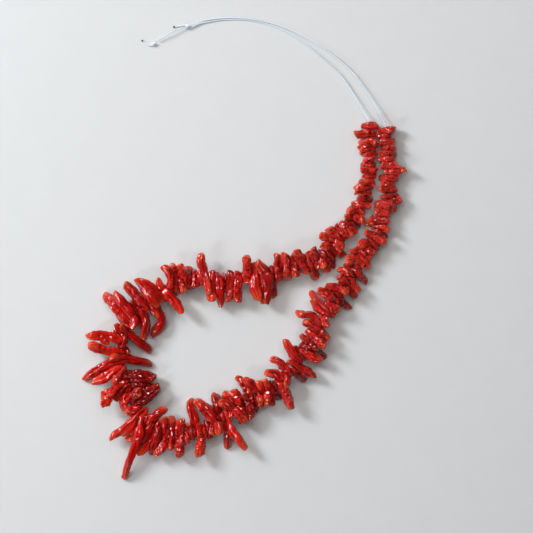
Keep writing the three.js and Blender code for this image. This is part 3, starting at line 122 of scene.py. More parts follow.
    (74, "coral_chips_066_to_074", 0.70, 0.00, [[[-52.44,-50.11,6.6,1.55],[-50.57,-50.07,6.4,1.55],[-48.27,-48.53,5.44,1.04],[-47.07,-48.25,4.54,0.8]]]),
    (75, "coral_branch_075", 0.72, 0.00, [[[-60.96,-62.94,4.95,0.68],[-58.92,-60.98,5.04,1.27],[-56,-59.32,5.13,1.41],[-52.84,-56.68,5.24,1.46],[-49.89,-53.03,5.37,1.41],[-47,-50.28,5.45,1.02],[-45.99,-49.48,5.55,0.58]], [[-49.85,-53.34,5.37,1.14],[-50.35,-56.52,5.27,1.23],[-52.7,-59.47,5.18,1.18],[-55.08,-61.25,5.09,0.77]], [[-49.98,-55.95,5.31,1],[-51.27,-60.55,5.16,0.73]]]),
    (76, "coral_branch_076", 0.55, 0.00, [[[-44.06,-49.2,4.16,0.64],[-45.66,-51.84,5.44,1.02],[-46.83,-55.11,6.97,0.5],[-47.58,-59.69,6.83,1.64],[-48.89,-63.93,6.25,1.55],[-50.38,-68.28,5.76,1.41],[-51.82,-72,5.09,1.36],[-53.17,-75.65,4.09,1.18],[-54.07,-78.84,2.39,1.14],[-54.8,-80.57,0.82,1.32]]]),
    (77, "coral_branch_077", 0.60, 0.00, [[[-53.09,-63.44,3.13,1.05],[-51.16,-62.39,3.37,1.32],[-48.44,-60.61,3.57,1.32],[-46.25,-56.91,4.01,1.33],[-44.26,-53.26,5.43,1.02],[-43.41,-52.36,4.32,0.85]]]),
    (78, "coral_branch_078", 0.58, 0.00, [[[-36.67,-49.22,6.77,1.46],[-39.18,-51.12,6.4,1.55],[-41.43,-53.08,6.06,1.59],[-42.79,-54.58,5.41,1.27],[-43.72,-55.87,5.51,1.25]]]),
    (79, "coral_branch_079", 0.30, 0.00, [[[-47.11,-64.56,4.38,1.09],[-45.71,-62.58,4.9,1.5],[-43.73,-59,5.27,1.48],[-41.29,-55.78,5.41,1.02],[-40.43,-54.91,4.75,0.83]]]),
    (80, "coral_branch_080", 0.58, 0.00, [[[-48.14,-69.13,4.41,1.32],[-46.14,-67.84,4.32,1.55],[-44.11,-65.38,4.02,1.44],[-42.43,-61.99,3.77,1.38],[-40.65,-58.39,4.11,1.26],[-39.73,-56.85,5.4,1.02],[-39.03,-55.82,5.5,0.85]]]),
    (81, "coral_branch_081", 0.35, 0.00, [[[-42.05,-69.7,0.77,1.27],[-41.44,-66.8,3.1,1.58],[-39.91,-62.94,5.16,1.63],[-38.9,-59.46,5.84,1.43],[-38.1,-57.81,5.4,1.02],[-37.55,-56.72,4.48,0.81]]]),
    (82, "coral_chips_082_to_088", 0.58, 0.00, [[[-36.32,-53.93,6.77,1.23],[-36.03,-56.73,6.76,0.81],[-36.33,-58.7,5.4,1.02],[-36.35,-59.65,5.5,1.12]]]),
    (83, "coral_chips_082_to_088", 0.48, 0.01, [[[-40.54,-69.96,4.94,0.96],[-38.34,-67.89,5.03,1.23],[-36.5,-65.27,5.11,1.32],[-35.33,-62.21,5.17,1.27],[-34.43,-59.52,5.4,1.02],[-34.17,-58.36,4.34,0.82]]]),
    (84, "coral_chips_082_to_088", 0.40, 0.01, [[[-32.96,-53.61,5.65,1.18],[-32.28,-56.34,5.58,1.39],[-32.46,-60.32,5.39,1.13],[-32.98,-64.52,5.5,1.23],[-33.24,-67.5,5.65,1.05]]]),
    (85, "coral_chips_082_to_088", 0.52, 0.01, [[[-28.99,-54.73,6.4,1.55],[-29.26,-57.69,6.25,1.87],[-30.13,-60.02,6,1.34],[-30.39,-60.97,5.38,1.05],[-30.71,-62.18,5.48,0.85]]]),
    (86, "coral_chips_082_to_088", 0.62, 0.01, [[[-27.88,-59.84,4.15,1.04],[-28.26,-61.31,5.36,1.14],[-28.6,-62.83,4.94,1.51],[-29.36,-66.13,4.91,2.18],[-29.2,-69.6,4.89,1.96]]]),
    (87, "coral_chips_082_to_088", 0.80, 0.01, [[[-26.53,-59.41,5.44,0.86],[-26.12,-61.21,5.34,1.02],[-26.16,-64.13,5.44,0.89]]]),
    (88, "coral_chips_082_to_088", 0.35, 0.01, [[[-25.18,-56.51,5.75,1.27],[-24.49,-59.35,5.36,1.29],[-24.08,-60.68,5.32,1.04],[-23.9,-62.12,4.21,1.04]]]),
    (89, "coral_branch_089", 0.48, 0.02, [[[-24.26,-45.7,0.59,1.09],[-24.55,-48.28,2.64,1.27],[-23.45,-51.52,3.73,1.41],[-22.46,-55.03,4.2,1.36],[-22.2,-58.26,4.35,0.82],[-22.13,-59.92,5.3,1.02],[-21.98,-61.13,4.25,0.82]]]),
    (90, "coral_chips_090_to_093", 0.66, 0.02, [[[-20.24,-57.34,5.38,1.24],[-20.22,-59.1,5.28,1.02],[-20.31,-61.6,7.43,0.62]]]),
    (91, "coral_chips_090_to_093", 0.78, 0.02, [[[-18.35,-57.11,4.29,0.84],[-18.33,-58.31,5.25,1.02],[-18.42,-60.94,4.9,1.17],[-19.47,-64.01,5.23,1.59],[-20,-66.95,5.54,2.09],[-20.35,-69.26,5.82,2.05]]]),
    (92, "coral_chips_090_to_093", 0.22, 0.02, [[[-16.84,-55.67,5.33,1.11],[-16.46,-57.46,5.23,1.14],[-16.27,-58.75,4.14,1.44],[-16.07,-61.38,3.29,1.46]]]),
    (93, "coral_chips_090_to_093", 0.50, 0.03, [[[-15.13,-54.88,3.86,0.52],[-14.67,-56.47,5.21,1.02],[-14.29,-57.97,5.69,1.31],[-14.37,-60.23,6.08,1.14]]]),
    (94, "coral_branch_094", 0.52, 0.03, [[[-21.19,-45.84,6.59,1.46],[-19,-47.78,6.41,2],[-16.52,-50.43,6.29,2.14],[-14.04,-53.78,6.19,1.58],[-12.95,-55.33,5.19,1.34],[-11.8,-56.81,6.66,1.53],[-11.36,-59.76,7.34,1.45]]]),
    (95, "coral_branch_095", 0.22, 0.03, [[[-13.22,-43.52,1.14,1.64],[-12.49,-46.22,3.06,1.91],[-12.03,-49.03,4.21,1.73],[-12.05,-51.86,4.77,0.73],[-11.27,-54.04,5.18,1.02],[-11.05,-55.23,4.17,0.66]]]),
    (96, "coral_branch_096", 0.45, 0.03, [[[-7.79,-66.44,0.77,1.27],[-7.6,-62.52,2.6,1.46],[-7.74,-58.15,3.52,1.41],[-8.79,-54.41,3.95,0.98],[-9.58,-52.7,5.19,1.02],[-9.78,-51.67,4.11,0.71]]]),
    (97, "coral_branch_097", 0.72, 0.04, [[[0.51,-66.95,6.24,1.09],[-2.51,-63.02,6.12,1.41],[-5.37,-59.2,6.05,1.5],[-6.79,-55.25,6.06,0.5],[-7.87,-51.38,5.2,1.02],[-8.4,-50.27,5.3,0.83]]]),
    (98, "coral_chips_098_to_104", 0.80, 0.04, [[[-7.04,-48.57,4.44,0.96],[-6.1,-50.1,5.2,1.02],[-5.96,-52.79,7.36,0.5]]]),
    (99, "coral_chips_098_to_104", 0.62, 0.04, [[[-10.26,-46.88,7.4,1.45],[-6.8,-47.43,6.8,1.8],[-4.29,-48.91,5.19,1.76],[-2.52,-50.52,6.1,2.3],[-0.2,-52.98,5.9,2.15]]]),
    (100, "coral_chips_098_to_104", 0.60, 0.05, [[[-5.34,-41.93,6.55,1.77],[-3.11,-43.98,6.16,2.05],[-2.38,-46.45,6.2,1.4],[-2.35,-47.76,5.17,1.02],[-2.61,-48.88,4.07,0.64]], [[-3.55,-45.4,6.17,1.64],[-5.92,-44.12,6.37,1.68],[-8.34,-42.79,6.55,1.59]]]),
    (101, "coral_chips_098_to_104", 0.10, 0.05, [[[-0.95,-45.56,4.15,0.89],[-0.4,-46.7,5.15,1.02],[0.01,-48.37,3.71,1.32],[-0.51,-51.49,2.47,1.41],[-0.94,-54.88,0.73,1.23]]]),
    (102, "coral_chips_098_to_104", 0.15, 0.06, [[[-0.1,-43.23,7.28,1.36],[1.5,-45.72,5.13,1.44],[2.86,-49.61,5.18,2],[3.06,-52.68,5.08,1.59]]]),
    (103, "coral_chips_098_to_104", 0.55, 0.06, [[[-3.25,-34.96,5.51,0.86],[-1.33,-36.62,5.11,1.36],[0.85,-39.63,4.98,1.59],[2.42,-42.52,5.28,1.59],[3.36,-44.74,5.12,1.08],[3.77,-45.93,4.89,0.85]]]),
    (104, "coral_chips_098_to_104", 0.10, 0.07, [[[4.69,-42.83,4.15,0.78],[5.18,-43.73,5.11,1.04],[5.87,-45.97,3.22,1.58],[5.19,-50.07,0.86,1.36]]]),
    (105, "coral_branch_105", 0.48, 0.07, [[[0.29,-35.74,6.96,1.18],[3.09,-37.9,6.27,1.5],[5.53,-40.56,5.25,1.28],[6.95,-42.73,5.11,1.08],[7.59,-46.04,7.64,1.23]]]),
    (106, "coral_chips_106_to_114", 0.68, 0.08, [[[6.36,-37.43,6.94,1.18],[7.83,-39.45,6.46,1.45],[8.7,-41.72,5.11,1.02],[8.65,-45.29,4.53,0.5],[7.48,-47.92,5.39,1.18]], [[8.33,-40.81,5.58,1.17],[8.41,-38.47,5.32,1.13],[8.08,-36.88,6.03,0.96]]]),
    (107, "coral_chips_106_to_114", 0.66, 0.08, [[[9.56,-36.61,7.17,1],[10.37,-39.66,6.14,1.17],[10.45,-40.69,5.09,1.08],[10.64,-43.32,6.4,1.34],[10.34,-46.5,6.59,1.23]]]),
    (108, "coral_chips_106_to_114", 0.16, 0.09, [[[11.5,-37.64,5.14,1.14],[12.19,-39.59,5.07,1.14],[12.61,-40.95,4.74,1.42],[12.61,-44.28,4.43,1.68],[12.7,-46.9,4.93,1.18]]]),
    (109, "coral_chips_106_to_114", 0.08, 0.09, [[[13.42,-37.36,4.05,0.96],[13.88,-38.36,5.06,1.07],[14.8,-40.28,3.25,1.45],[15.96,-44.44,0.77,1.27]]]),
    (110, "coral_chips_106_to_114", 0.62, 0.10, [[[14.61,-36.39,5.15,0.97],[15.56,-37.03,5.05,1.13],[16.86,-38.36,5.52,1.59],[18.83,-41.2,5.61,2],[20.12,-44.53,5.92,2.05],[21.22,-48.4,6.26,1.46]]]),
    (111, "coral_chips_106_to_114", 0.62, 0.10, [[[10.68,-32.99,6.23,1.36],[13.71,-33.41,5.57,1.78],[17.26,-35.6,5.05,1.38],[19.17,-36.88,3.46,1.32]]]),
    (112, "coral_chips_106_to_114", 0.62, 0.11, [[[17.57,-33.2,5.15,1.04],[18.96,-34.12,5.05,1.02],[20.05,-36.26,6.51,1.17],[18.96,-38.41,7.71,1.05]]]),
    (113, "coral_chips_106_to_114", 0.55, 0.11, [[[12.89,-26.69,5.76,1.18],[14.73,-27.26,5.57,1.41],[16.98,-29.25,5.39,1.5],[19.2,-31.28,5.23,1.46],[20.62,-32.58,5.06,1.06],[21.45,-33.51,4.58,0.85]]]),
    (114, "coral_chips_106_to_114", 0.20, 0.12, [[[21.47,-30.37,4.2,0.78],[22.22,-30.95,5.06,1.02],[24.12,-33.12,3.5,1.5],[26.1,-35.17,1.73,1.32],[27.18,-36.25,0.46,0.96]]]),
    (115, "coral_branch_115", 0.35, 0.12, [[[20.51,-27.61,5.56,1.1],[23.74,-29.23,5.07,1.14],[26.54,-31.02,4.84,1.55],[29.48,-32.97,4.83,1.73],[30.79,-33.81,4.83,1.36]], [[29.56,-33.17,4.83,1.05],[32.37,-34.5,4.83,0.82]]]),
    (116, "coral_branch_116", 0.52, 0.13, [[[19.07,-18.28,5.75,1.18],[20.08,-21.07,5.86,1.41],[21.66,-23.47,6.07,1.77],[23.7,-25.93,6.13,1.31],[25.15,-27.39,5.08,1.02],[26.01,-28.26,5.18,0.69]]]),
    (117, "coral_chips_117_to_125", 0.35, 0.14, [[[23.17,-21.43,4.17,1.09],[24.67,-23.14,4.29,1.22],[26.46,-25.46,5.09,1.02],[27.18,-26.49,4.06,0.83]]]),
    (118, "coral_chips_117_to_125", 0.76, 0.14, [[[26.3,-22.53,5.2,1.07],[27.66,-23.49,5.1,1.1],[28.63,-24.17,5.42,1.4],[31.29,-25.94,5.57,1.77],[33.9,-27.46,5.77,1.41]]]),
    (119, "coral_chips_117_to_125", 0.14, 0.15, [[[25.95,-20.22,4.83,1.15],[28.81,-21.49,5.11,1.18],[31.66,-22.67,3.72,1.49],[34.44,-24.05,2.43,1.27],[36.63,-25.46,0.55,1.05]]]),
    (120, "coral_chips_117_to_125", 0.20, 0.16, [[[26.35,-16.36,5.78,1.18],[28.5,-18.16,5.43,1.5],[29.97,-19.36,5.11,1.21],[32.63,-21.43,6.15,1.31]]]),
    (121, "coral_chips_117_to_125", 0.60, 0.17, [[[28.85,-13.51,5.32,1.14],[31.58,-16.31,5.1,1.53],[33.66,-18.06,6.07,1.64],[36.33,-20.32,6.68,1.59]]]),
    (122, "coral_chips_117_to_125", 0.45, 0.17, [[[28.01,-9.96,6.21,1.36],[30.31,-10.6,5.78,1.73],[33.19,-13.18,5.09,1.57],[35.6,-15.36,4.7,1.91],[37.61,-17.22,4.85,1.23]]]),
    (123, "coral_chips_117_to_125", 0.60, 0.18, [[[24.93,-6.07,6.19,1.36],[27.69,-6.29,5.82,1.46],[30.31,-6.93,5.44,1.46],[32.69,-8.38,5.14,1.46],[34.63,-10.32,5.07,1.25],[35.56,-11.13,4.85,1]]]),
    (124, "coral_chips_117_to_125", 0.70, 0.19, [[[34.96,-6.8,5.13,0.99],[35.81,-7.98,5.03,1.04],[37.13,-10.58,7.36,1.32]]]),
    (125, "coral_chips_117_to_125", 0.82, 0.20, [[[31.23,-0.1,5.67,0.86],[32.84,-2.96,5.27,1.18],[35.13,-4.98,4.86,1.31],[36.83,-5.98,4.98,1.02],[37.86,-6.67,5.08,0.85]]]),
    (126, "coral_branch_126", 0.55, 0.20, [[[30.84,3.56,0.59,1.09],[32.37,1.02,2.78,1.05],[34.82,-1.6,4,1.09],[37.86,-4,4.93,1.02],[39.19,-5.23,3.84,1.11],[40.72,-6.63,3.64,1.09]]]),
    (127, "coral_chips_127_to_135", 0.42, 0.21, [[[37.42,-0.64,4.31,1.12],[38.99,-1.89,4.87,1.3],[41.18,-3.47,5.56,1.82],[42.14,-3.78,6.01,1.73]]]),
    (128, "coral_chips_127_to_135", 0.58, 0.22, [[[34.13,4.58,6.86,1.5],[36.97,3.16,6.13,1.96],[39.52,1.26,5.48,1.67],[40.37,0.56,4.81,1.39],[41.83,-0.15,4.91,1.44]]]),
    (129, "coral_chips_127_to_135", 0.15, 0.23, [[[41.38,3.88,3.86,1.07],[41.93,3.12,4.75,1.23],[42.65,2.01,3.67,1.55],[44.52,-0.31,2.45,1.36],[47.55,-3.29,0.64,1.14]]]),
    (130, "coral_chips_127_to_135", 0.62, 0.24, [[[37.73,6.53,5.78,1.41],[40.97,6.12,5.44,1.36],[43.43,5.35,4.68,1.27],[46.51,4.13,6.93,1.59]]]),
    (131, "coral_chips_127_to_135", 0.20, 0.24, [[[43.74,8.01,3.91,1],[44.72,7.1,4.61,1.07],[46.09,6.06,3.86,1.41],[48.64,3.7,3.64,1.36],[50.72,1.87,3.41,1]]]),
    (132, "coral_chips_127_to_135", 0.70, 0.25, [[[43.46,10.62,6.49,1.27],[45.22,9.44,5.43,1.38],[46.05,8.78,4.54,1.12],[47.22,7.9,4.64,1.12]]]),
    (133, "coral_chips_127_to_135", 0.60, 0.26, [[[46.37,11.81,3.1,0.92],[47.41,10.44,4.48,1.05],[48.31,9.44,4.11,1.18],[49.91,7,4.33,1.18],[51.86,4.74,4.56,1.14]]]),
    (134, "coral_chips_127_to_135", 0.50, 0.27, [[[43.09,14.33,5.83,1.05],[45.2,13.48,5.5,1.32],[47.93,12.71,5.14,1.37],[48.75,12.1,4.42,1.08],[50.46,10.77,2.72,1.04]]]),
    (135, "coral_chips_127_to_135", 0.42, 0.28, [[[49.16,14.73,3.27,0.64],[50.01,13.82,4.38,1.02],[51.29,12.75,4.23,1.28],[53.18,11.03,2.84,1.36],[55.64,8.87,0.73,1.23]], [[49.31,14.49,3.51,1.12],[47.43,15.34,3.72,1.23],[45.82,15.73,3.92,1.05]]]),
    (136, "coral_chips_136_to_144", 0.72, 0.29, [[[52.95,15.35,2.99,0.97],[51.19,15.71,4.35,1.02],[50.17,15.65,4.45,0.8]]]),
    (137, "coral_chips_136_to_144", 0.62, 0.30, [[[47.85,18.46,5.6,2.15],[49.91,18.64,4.78,1.77],[52.33,17.65,4.31,1.28],[53.65,16.4,4.41,1.12]]]),
    (138, "coral_chips_136_to_144", 0.60, 0.31, [[[52.56,20.49,4.36,0.98],[53.44,19.59,4.26,1.02],[55.36,17.62,3.97,1.18],[56.67,15.17,3.72,0.91]]]),
    (139, "coral_chips_136_to_144", 0.50, 0.32, [[[49.15,22.13,4.85,1.27],[52.06,22.68,4,1.44],[54.54,21.54,4.2,1.11],[57.21,19.75,4.14,1.14]]]),
    (140, "coral_chips_136_to_144", 0.45, 0.33, [[[54.07,24.28,3,0.97],[55.64,23.48,4.14,1.06],[56.85,22.93,4.7,1.41],[59.04,21.8,5.18,1.05]]]),
    (141, "coral_chips_136_to_144", 0.70, 0.34, [[[53.28,24.84,6.22,1.55],[55.06,26.04,5.19,1.59],[56.75,25.42,4.08,1.08],[57.71,24.82,3.11,0.84]]]),
    (142, "coral_chips_136_to_144", 0.15, 0.35, [[[57.02,28.1,3.11,0.92],[57.88,27.31,4.03,1.04],[59.19,25.96,4.2,1.31],[60.4,24.21,3.86,1.09],[59.64,22.72,3.46,0.96]]]),
    (143, "coral_chips_136_to_144", 0.55, 0.36, [[[55.88,30.65,4.99,1.32],[59.01,29.17,3.99,1.21],[60.69,28.23,4.59,1.5],[63.48,26.87,5.01,1.59]]]),
    (144, "coral_chips_136_to_144", 0.20, 0.37, [[[58.89,32,3.65,1],[60.21,31.36,3.95,1.25],[61.62,30.66,2.7,1.41],[64.52,29.06,0.77,1.27]]]),
    (145, "coral_chips_145_to_153", 0.72, 0.38, [[[59.21,34.09,4.01,0.77],[61.31,33.71,3.91,1.06],[63.74,33.27,4.46,1.18],[65.21,32.08,5.01,1.05]]]),
    (146, "coral_chips_145_to_153", 0.30, 0.39, [[[57.63,35.93,3,2.3],[59.63,36.11,3.4,1.9],[62.36,36.46,3.87,1.43],[64.6,36.12,3.97,1.27]]]),
    (147, "coral_chips_145_to_153", 0.62, 0.41, [[[60.13,40.26,4.53,1.32],[63.47,39.85,3.83,1.58],[65.66,39.62,3.93,1.31]]]),
    (148, "coral_chips_145_to_153", 0.38, 0.42, [[[62.05,43.73,1.55,2.05],[64.6,43.66,3.79,1.82],[67.22,43.59,3.88,2.18],[67.77,41.13,3.99,1.14]], [[66.75,44.17,3.85,1.5],[68.64,45.15,4,1.41],[70.62,45.83,4.06,1.23]]]),
    (149, "coral_chips_145_to_153", 0.20, 0.43, [[[63.15,46.97,3.85,0.77],[65.52,47.29,3.75,1.15],[68.71,47.6,2.98,1.18]]]),
    (150, "coral_chips_145_to_153", 0.55, 0.44, [[[62.51,50.67,5.35,1.14],[66.09,50.37,3.71,1.3],[68.81,50.7,3.53,1.04]]]),
    (151, "coral_chips_145_to_153", 0.66, 0.45, [[[63,52.99,4.4,1.23],[66.39,53.06,3.68,1.27],[67.65,53.11,3.78,1.02]]]),
    (152, "coral_chips_145_to_153", 0.40, 0.46, [[[62.99,55.83,0.86,1.36],[66.52,55.75,3.64,1.32],[69.3,55.76,3.74,1.15]]]),
    (153, "coral_chips_145_to_153", 0.55, 0.48, [[[64.49,58.53,3.4,1.07],[66.45,58.6,3.6,1.33],[67.88,58.64,4.06,1.36],[70.65,59.23,4.61,1.23],[72.6,59.82,5.22,1.09]]]),
    (154, "coral_chips_154_to_160", 0.55, 0.49, [[[63.1,61.51,4.71,1.36],[66.24,61.53,3.56,1.43],[69.41,61.61,4.94,1.27]]]),
    (155, "coral_chips_154_to_160", 0.45, 0.50, [[[62.52,64.47,2.84,1.36],[65.92,64.41,3.53,1.35],[67.26,64.33,3.63,1.04]]]),
    (156, "coral_chips_154_to_160", 0.35, 0.50, [[[62.54,67.39,3.61,1.12],[65.57,67.17,3.51,1.29],[68.19,66.9,0.73,1.23]]]),
    (157, "coral_chips_154_to_160", 0.58, 0.50, [[[62.77,69.8,2.91,1.07],[65.25,69.81,3.51,1.26],[67.87,69.83,3.61,1.12]]]),
    (158, "coral_chips_154_to_160", 0.50, 0.50, [[[62.14,71.63,4.3,1.09],[63.72,72.32,3.94,1.46],[64.94,72.38,3.52,1.2],[65.99,72.4,3.4,1.32],[67.57,72.45,3.3,1.09]]]),
    (159, "coral_chips_154_to_160", 0.50, 0.50, [[[61.56,78,3.53,1],[61.56,76.08,3.41,1.09],[62.79,74.72,3.44,1.09],[64.69,74.82,3.55,1.05],[65.93,74.89,3.3,0.85]]]),
    (160, "coral_chips_154_to_160", 0.52, 0.50, [[[63.31,76.9,3.68,0.92],[64.47,77.16,3.58,1.15],[65.67,77.4,3.87,1.52],[67.07,77.32,4.21,1.82]]]),
]
# the line's route through every hole, and its free ends, tails and knots
THREADED = [[56.87,81.75,3.47], [56.99,79.45,3.47], [57.35,72.32,3.46], [57.14,65.19,3.47], [56.72,58.07,3.58], [55.12,51.14,3.77], [52.44,44.53,3.96], [49.33,38.11,4.1], [45.59,32.05,4.23], [41.23,26.4,4.39], [36.96,20.7,4.59], [30.68,17.65,4.83], [23.65,16.45,4.95], [16.69,14.85,5.05], [9.74,13.24,5.13], [2.73,11.93,5.18], [-4.32,10.78,5.22], [-11.43,10.3,5.23], [-18.57,10.31,5.2], [-25.64,9.47,5.13], [-32.32,7.05,5.16], [-38.43,3.36,5.18], [-43.91,-1.19,5.21], [-48.85,-6.33,5.23], [-52.91,-12.17,5.18], [-55.32,-18.88,5.16], [-56.26,-25.94,5.29], [-55.52,-33.01,5.36], [-52.99,-39.68,5.35], [-49.78,-46.05,5.42], [-45.65,-51.85,5.44], [-40.25,-56.49,5.4], [-33.91,-59.73,5.4], [-27.02,-61.25,5.35], [-20.26,-59.12,5.28], [-13.88,-55.95,5.2], [-8.2,-51.63,5.2], [-2.24,-47.71,5.17], [4.06,-44.35,5.12], [10.25,-40.81,5.09], [16.03,-36.64,5.05], [21.33,-31.86,5.06], [25.85,-26.36,5.09], [29.5,-20.23,5.11], [32.82,-13.91,5.09], [36.03,-7.54,5.02], [39.36,-1.23,4.85], [43.1,4.85,4.7], [47.46,10.49,4.48], [51.55,16.32,4.34], [55.09,22.52,4.17], [58.71,28.67,4], [61.83,35.08,3.89], [64.07,41.85,3.81], [65.79,48.77,3.73], [66.51,55.86,3.64], [66.08,62.98,3.54], [65.22,70.06,3.51], [64.47,77.16,3.58], [64.22,79.75,3.61]]
END_A = [[56.85,82.1,3.47], [54.59,85.69,2.3], [52.92,89,1.68], [51.1,92.24,1.26], [49.16,95.37,1.07], [47.15,98.56,0.98], [44.61,102.04,0.91], [41.4,105.48,0.88], [37.98,108.54,0.85], [34.35,111.64,0.84], [30.29,115.04,0.82], [25.93,118.34,0.78], [21.73,121.06,0.68], [17.75,123.22,0.56], [13.28,125.14,0.44], [8.11,126.74,0.35], [2.66,127.78,0.31], [-2.8,128.26,0.32], [-8.26,128.18,0.35], [-13.62,127.64,0.46], [-18.18,126.81,0.68], [-21.48,125.92,0.9], [-23.82,124.79,1.05]]
END_B = [[64.18,80.1,3.62], [62.24,84.15,2.7], [60.02,88.42,2.06], [57.85,92.21,1.69], [55.83,95.35,1.54], [53.96,98,1.48], [52.2,100.44,1.46], [50.37,102.89,1.45], [48.13,105.41,1.44], [45.37,108.01,1.43], [42.25,110.65,1.39], [38.71,113.35,1.32], [34.53,116.12,1.22], [29.85,118.85,1.11], [25.12,121.38,0.99], [20.58,123.57,0.85], [16.13,125.33,0.7], [11.65,126.69,0.55], [6.92,127.75,0.43], [1.73,128.55,0.38], [-3.71,128.96,0.37], [-9.16,128.89,0.39], [-14.39,128.36,0.55], [-19.17,127.52,0.85], [-25.77,125.02,1.3], [-29.19,124.02,1.7], [-33.05,122.38,2.2], [-36.92,120.19,1.75], [-39.65,118.47,1.3]]
TAIL_A = [[-26.18,125.7,1.3], [-27.68,125.61,0.95], [-29.41,125.25,0.6], [-31.83,124.88,0.45]]
TAIL_B = [[-41.93,116.56,1], [-43.29,116.42,0.7], [-44.75,117.19,0.45], [-46.39,118.38,0.42]]
KNOT_A = [[-25.77,125.02,1.3], [-23.27,125.93,1.2], [-28.28,124.02,1.6]]
KNOT_B = [[-41.24,117.1,1.15]]

# ---- camera: straight above, the picture's frame ----------------------------
VIEW_WIDTH = 533 * 0.455 * MM
CENTRE = (10.17 * MM, 15.5 * MM)
CAM_HEIGHT = 1.5
cam_data = bpy.data.cameras.new("camera")
cam_data.sensor_width = 36.0
cam_data.sensor_fit = "HORIZONTAL"
cam_data.lens = 36.0 * (CAM_HEIGHT - 0.005) / VIEW_WIDTH
cam = bpy.data.objects.new("camera", cam_data)
bpy.context.scene.collection.objects.link(cam)
cam.location = (CENTRE[0], CENTRE[1], CAM_HEIGHT)
cam.rotation_euler = (0, 0, 0)
bpy.context.scene.camera = cam


# ---- curves -----------------------------------------------------------------
def catmull(P, step):
    """Points along a centripetal Catmull-Rom curve through P, about step apart; extra columns are carried along."""
    P = np.asarray(P, float)
    if len(P) == 2:
        n = max(2, int(math.ceil(np.linalg.norm(P[1, :3] - P[0, :3]) / step)) + 1)
        t = np.linspace(0, 1, n)[:, None]
        return P[0] * (1 - t) + P[1] * t
    Q = np.vstack([2 * P[0] - P[1], P, 2 * P[-1] - P[-2]])
    out = []
    for i in range(1, len(Q) - 2):
        p0, p1, p2, p3 = Q[i - 1], Q[i], Q[i + 1], Q[i + 2]
        d = [max(np.linalg.norm((b - a)[:3]), 1e-6) ** 0.5 for a, b in ((p0, p1), (p1, p2), (p2, p3))]
        t0, t1, t2, t3 = 0.0, d[0], d[0] + d[1], d[0] + d[1] + d[2]
        n = max(1, int(math.ceil(np.linalg.norm((p2 - p1)[:3]) / step)))
        for t in np.linspace(t1, t2, n, endpoint=False):
            a1 = (t1 - t) / (t1 - t0) * p0 + (t - t0) / (t1 - t0) * p1
            a2 = (t2 - t) / (t2 - t1) * p1 + (t - t1) / (t2 - t1) * p2
            a3 = (t3 - t) / (t3 - t2) * p2 + (t - t2) / (t3 - t2) * p3
            b1 = (t2 - t) / (t2 - t0) * a1 + (t - t0) / (t2 - t0) * a2
            b2 = (t3 - t) / (t3 - t1) * a2 + (t - t1) / (t3 - t1) * a3
            out.append((t2 - t) / (t2 - t1) * b1 + (t - t1) / (t2 - t1) * b2)
    out.append(P[-1])
    return np.array(out)


def arc(C):
    return np.r_[0, np.cumsum(np.linalg.norm(np.diff(C[:, :3], axis=0), axis=1))]


def frames(C):
    """Tangent and two normals at each point, carried along without twisting."""
    T = np.gradient(C, axis=0)
    T /= np.maximum(np.linalg.norm(T, axis=1, keepdims=True), 1e-9)
    up = np.array([0, 0, 1.0])
    a = np.cross(T[0], up)
    if np.linalg.norm(a) < 1e-3:
        a = np.array([1.0, 0, 0])
    a /= np.linalg.norm(a)
    A = [a]
    for i in range(1, len(C)):
        a = a - np.dot(a, T[i]) * T[i]
        a /= np.linalg.norm(a)
        A.append(a)
    A = np.array(A)
    return T, A, np.cross(T, A)


def new_mesh(name, V, F):
    me = bpy.data.meshes.new(name)
    me.from_pydata((np.asarray(V) * MM).tolist(), [], F)
    me.validate()
    return me


def link(name, me):
    ob = bpy.data.objects.new(name, me)
    bpy.context.scene.collection.objects.link(ob)
    return ob


def tube(C, R, sides, fr=None, slant=None):
    """Closed tube round centreline C with radii R (one per ring, or ring by side); slant moves points along the axis."""
    T, A, B = fr or frames(C)
    R = np.asarray(R, float)
    if R.ndim == 1:
        R = np.repeat(R[:, None], sides, 1)
    th = np.linspace(0, 2 * math.pi, sides, endpoint=False)
    V = C[:, None] + R[:, :, None] * (np.cos(th)[None, :, None] * A[:, None] + np.sin(th)[None, :, None] * B[:, None])
    if slant is not None:
        V = V + slant[:, :, None] * T[:, None]
    n = len(C)
    V = V.reshape(-1, 3)
    F = []
    for i in range(n - 1):
        a = i * sides
        for k in range(sides):
            k2 = (k + 1) % sides
            F.append((a + k, a + k2, a + sides + k2, a + sides + k))
    c0, c1 = len(V), len(V) + 1
    V = np.vstack([V, C[0], C[-1]])
    for k in range(sides):
        k2 = (k + 1) % sides
        F.append((c0, k2, k))
        F.append((c1, (n - 1) * sides + k, (n - 1) * sides + k2))
    return V, F


# ---- coral: bundled lengthwise strands, lumps and knobs, blunt rounded ends -------
STEP = 0.36
PRESS_ROUNDS, PRESS_GAP = 3, 0.02
PRESS_RAYS = (Vector((0.13, 0.27, 0.95)).normalized(), Vector((-0.88, 0.31, 0.36)).normalized())
TOP = 9.75
OPEN_GROW = 0.50


def soft_noise(x, rng, period):
    """Smooth random values in -1..1 along x."""
    n = int(max(x.max() - x.min(), 1e-6) / period) + 4
    v = rng.uniform(-1, 1, n)
    t = (x - x.min()) / period
    i = np.clip(t.astype(int), 0, n - 2)
    f = t - i
    f = f * f * (3 - 2 * f)
    return v[i] * (1 - f) + v[i + 1] * f


def swell(C, r):
    """Pieces are thicker round the hole."""
    d = np.sqrt(((C[:, None, :3] - hole_line[None]) ** 2).sum(2)).min(1)
    return r + 0.35 * np.exp(-(d / 2.4) ** 2)


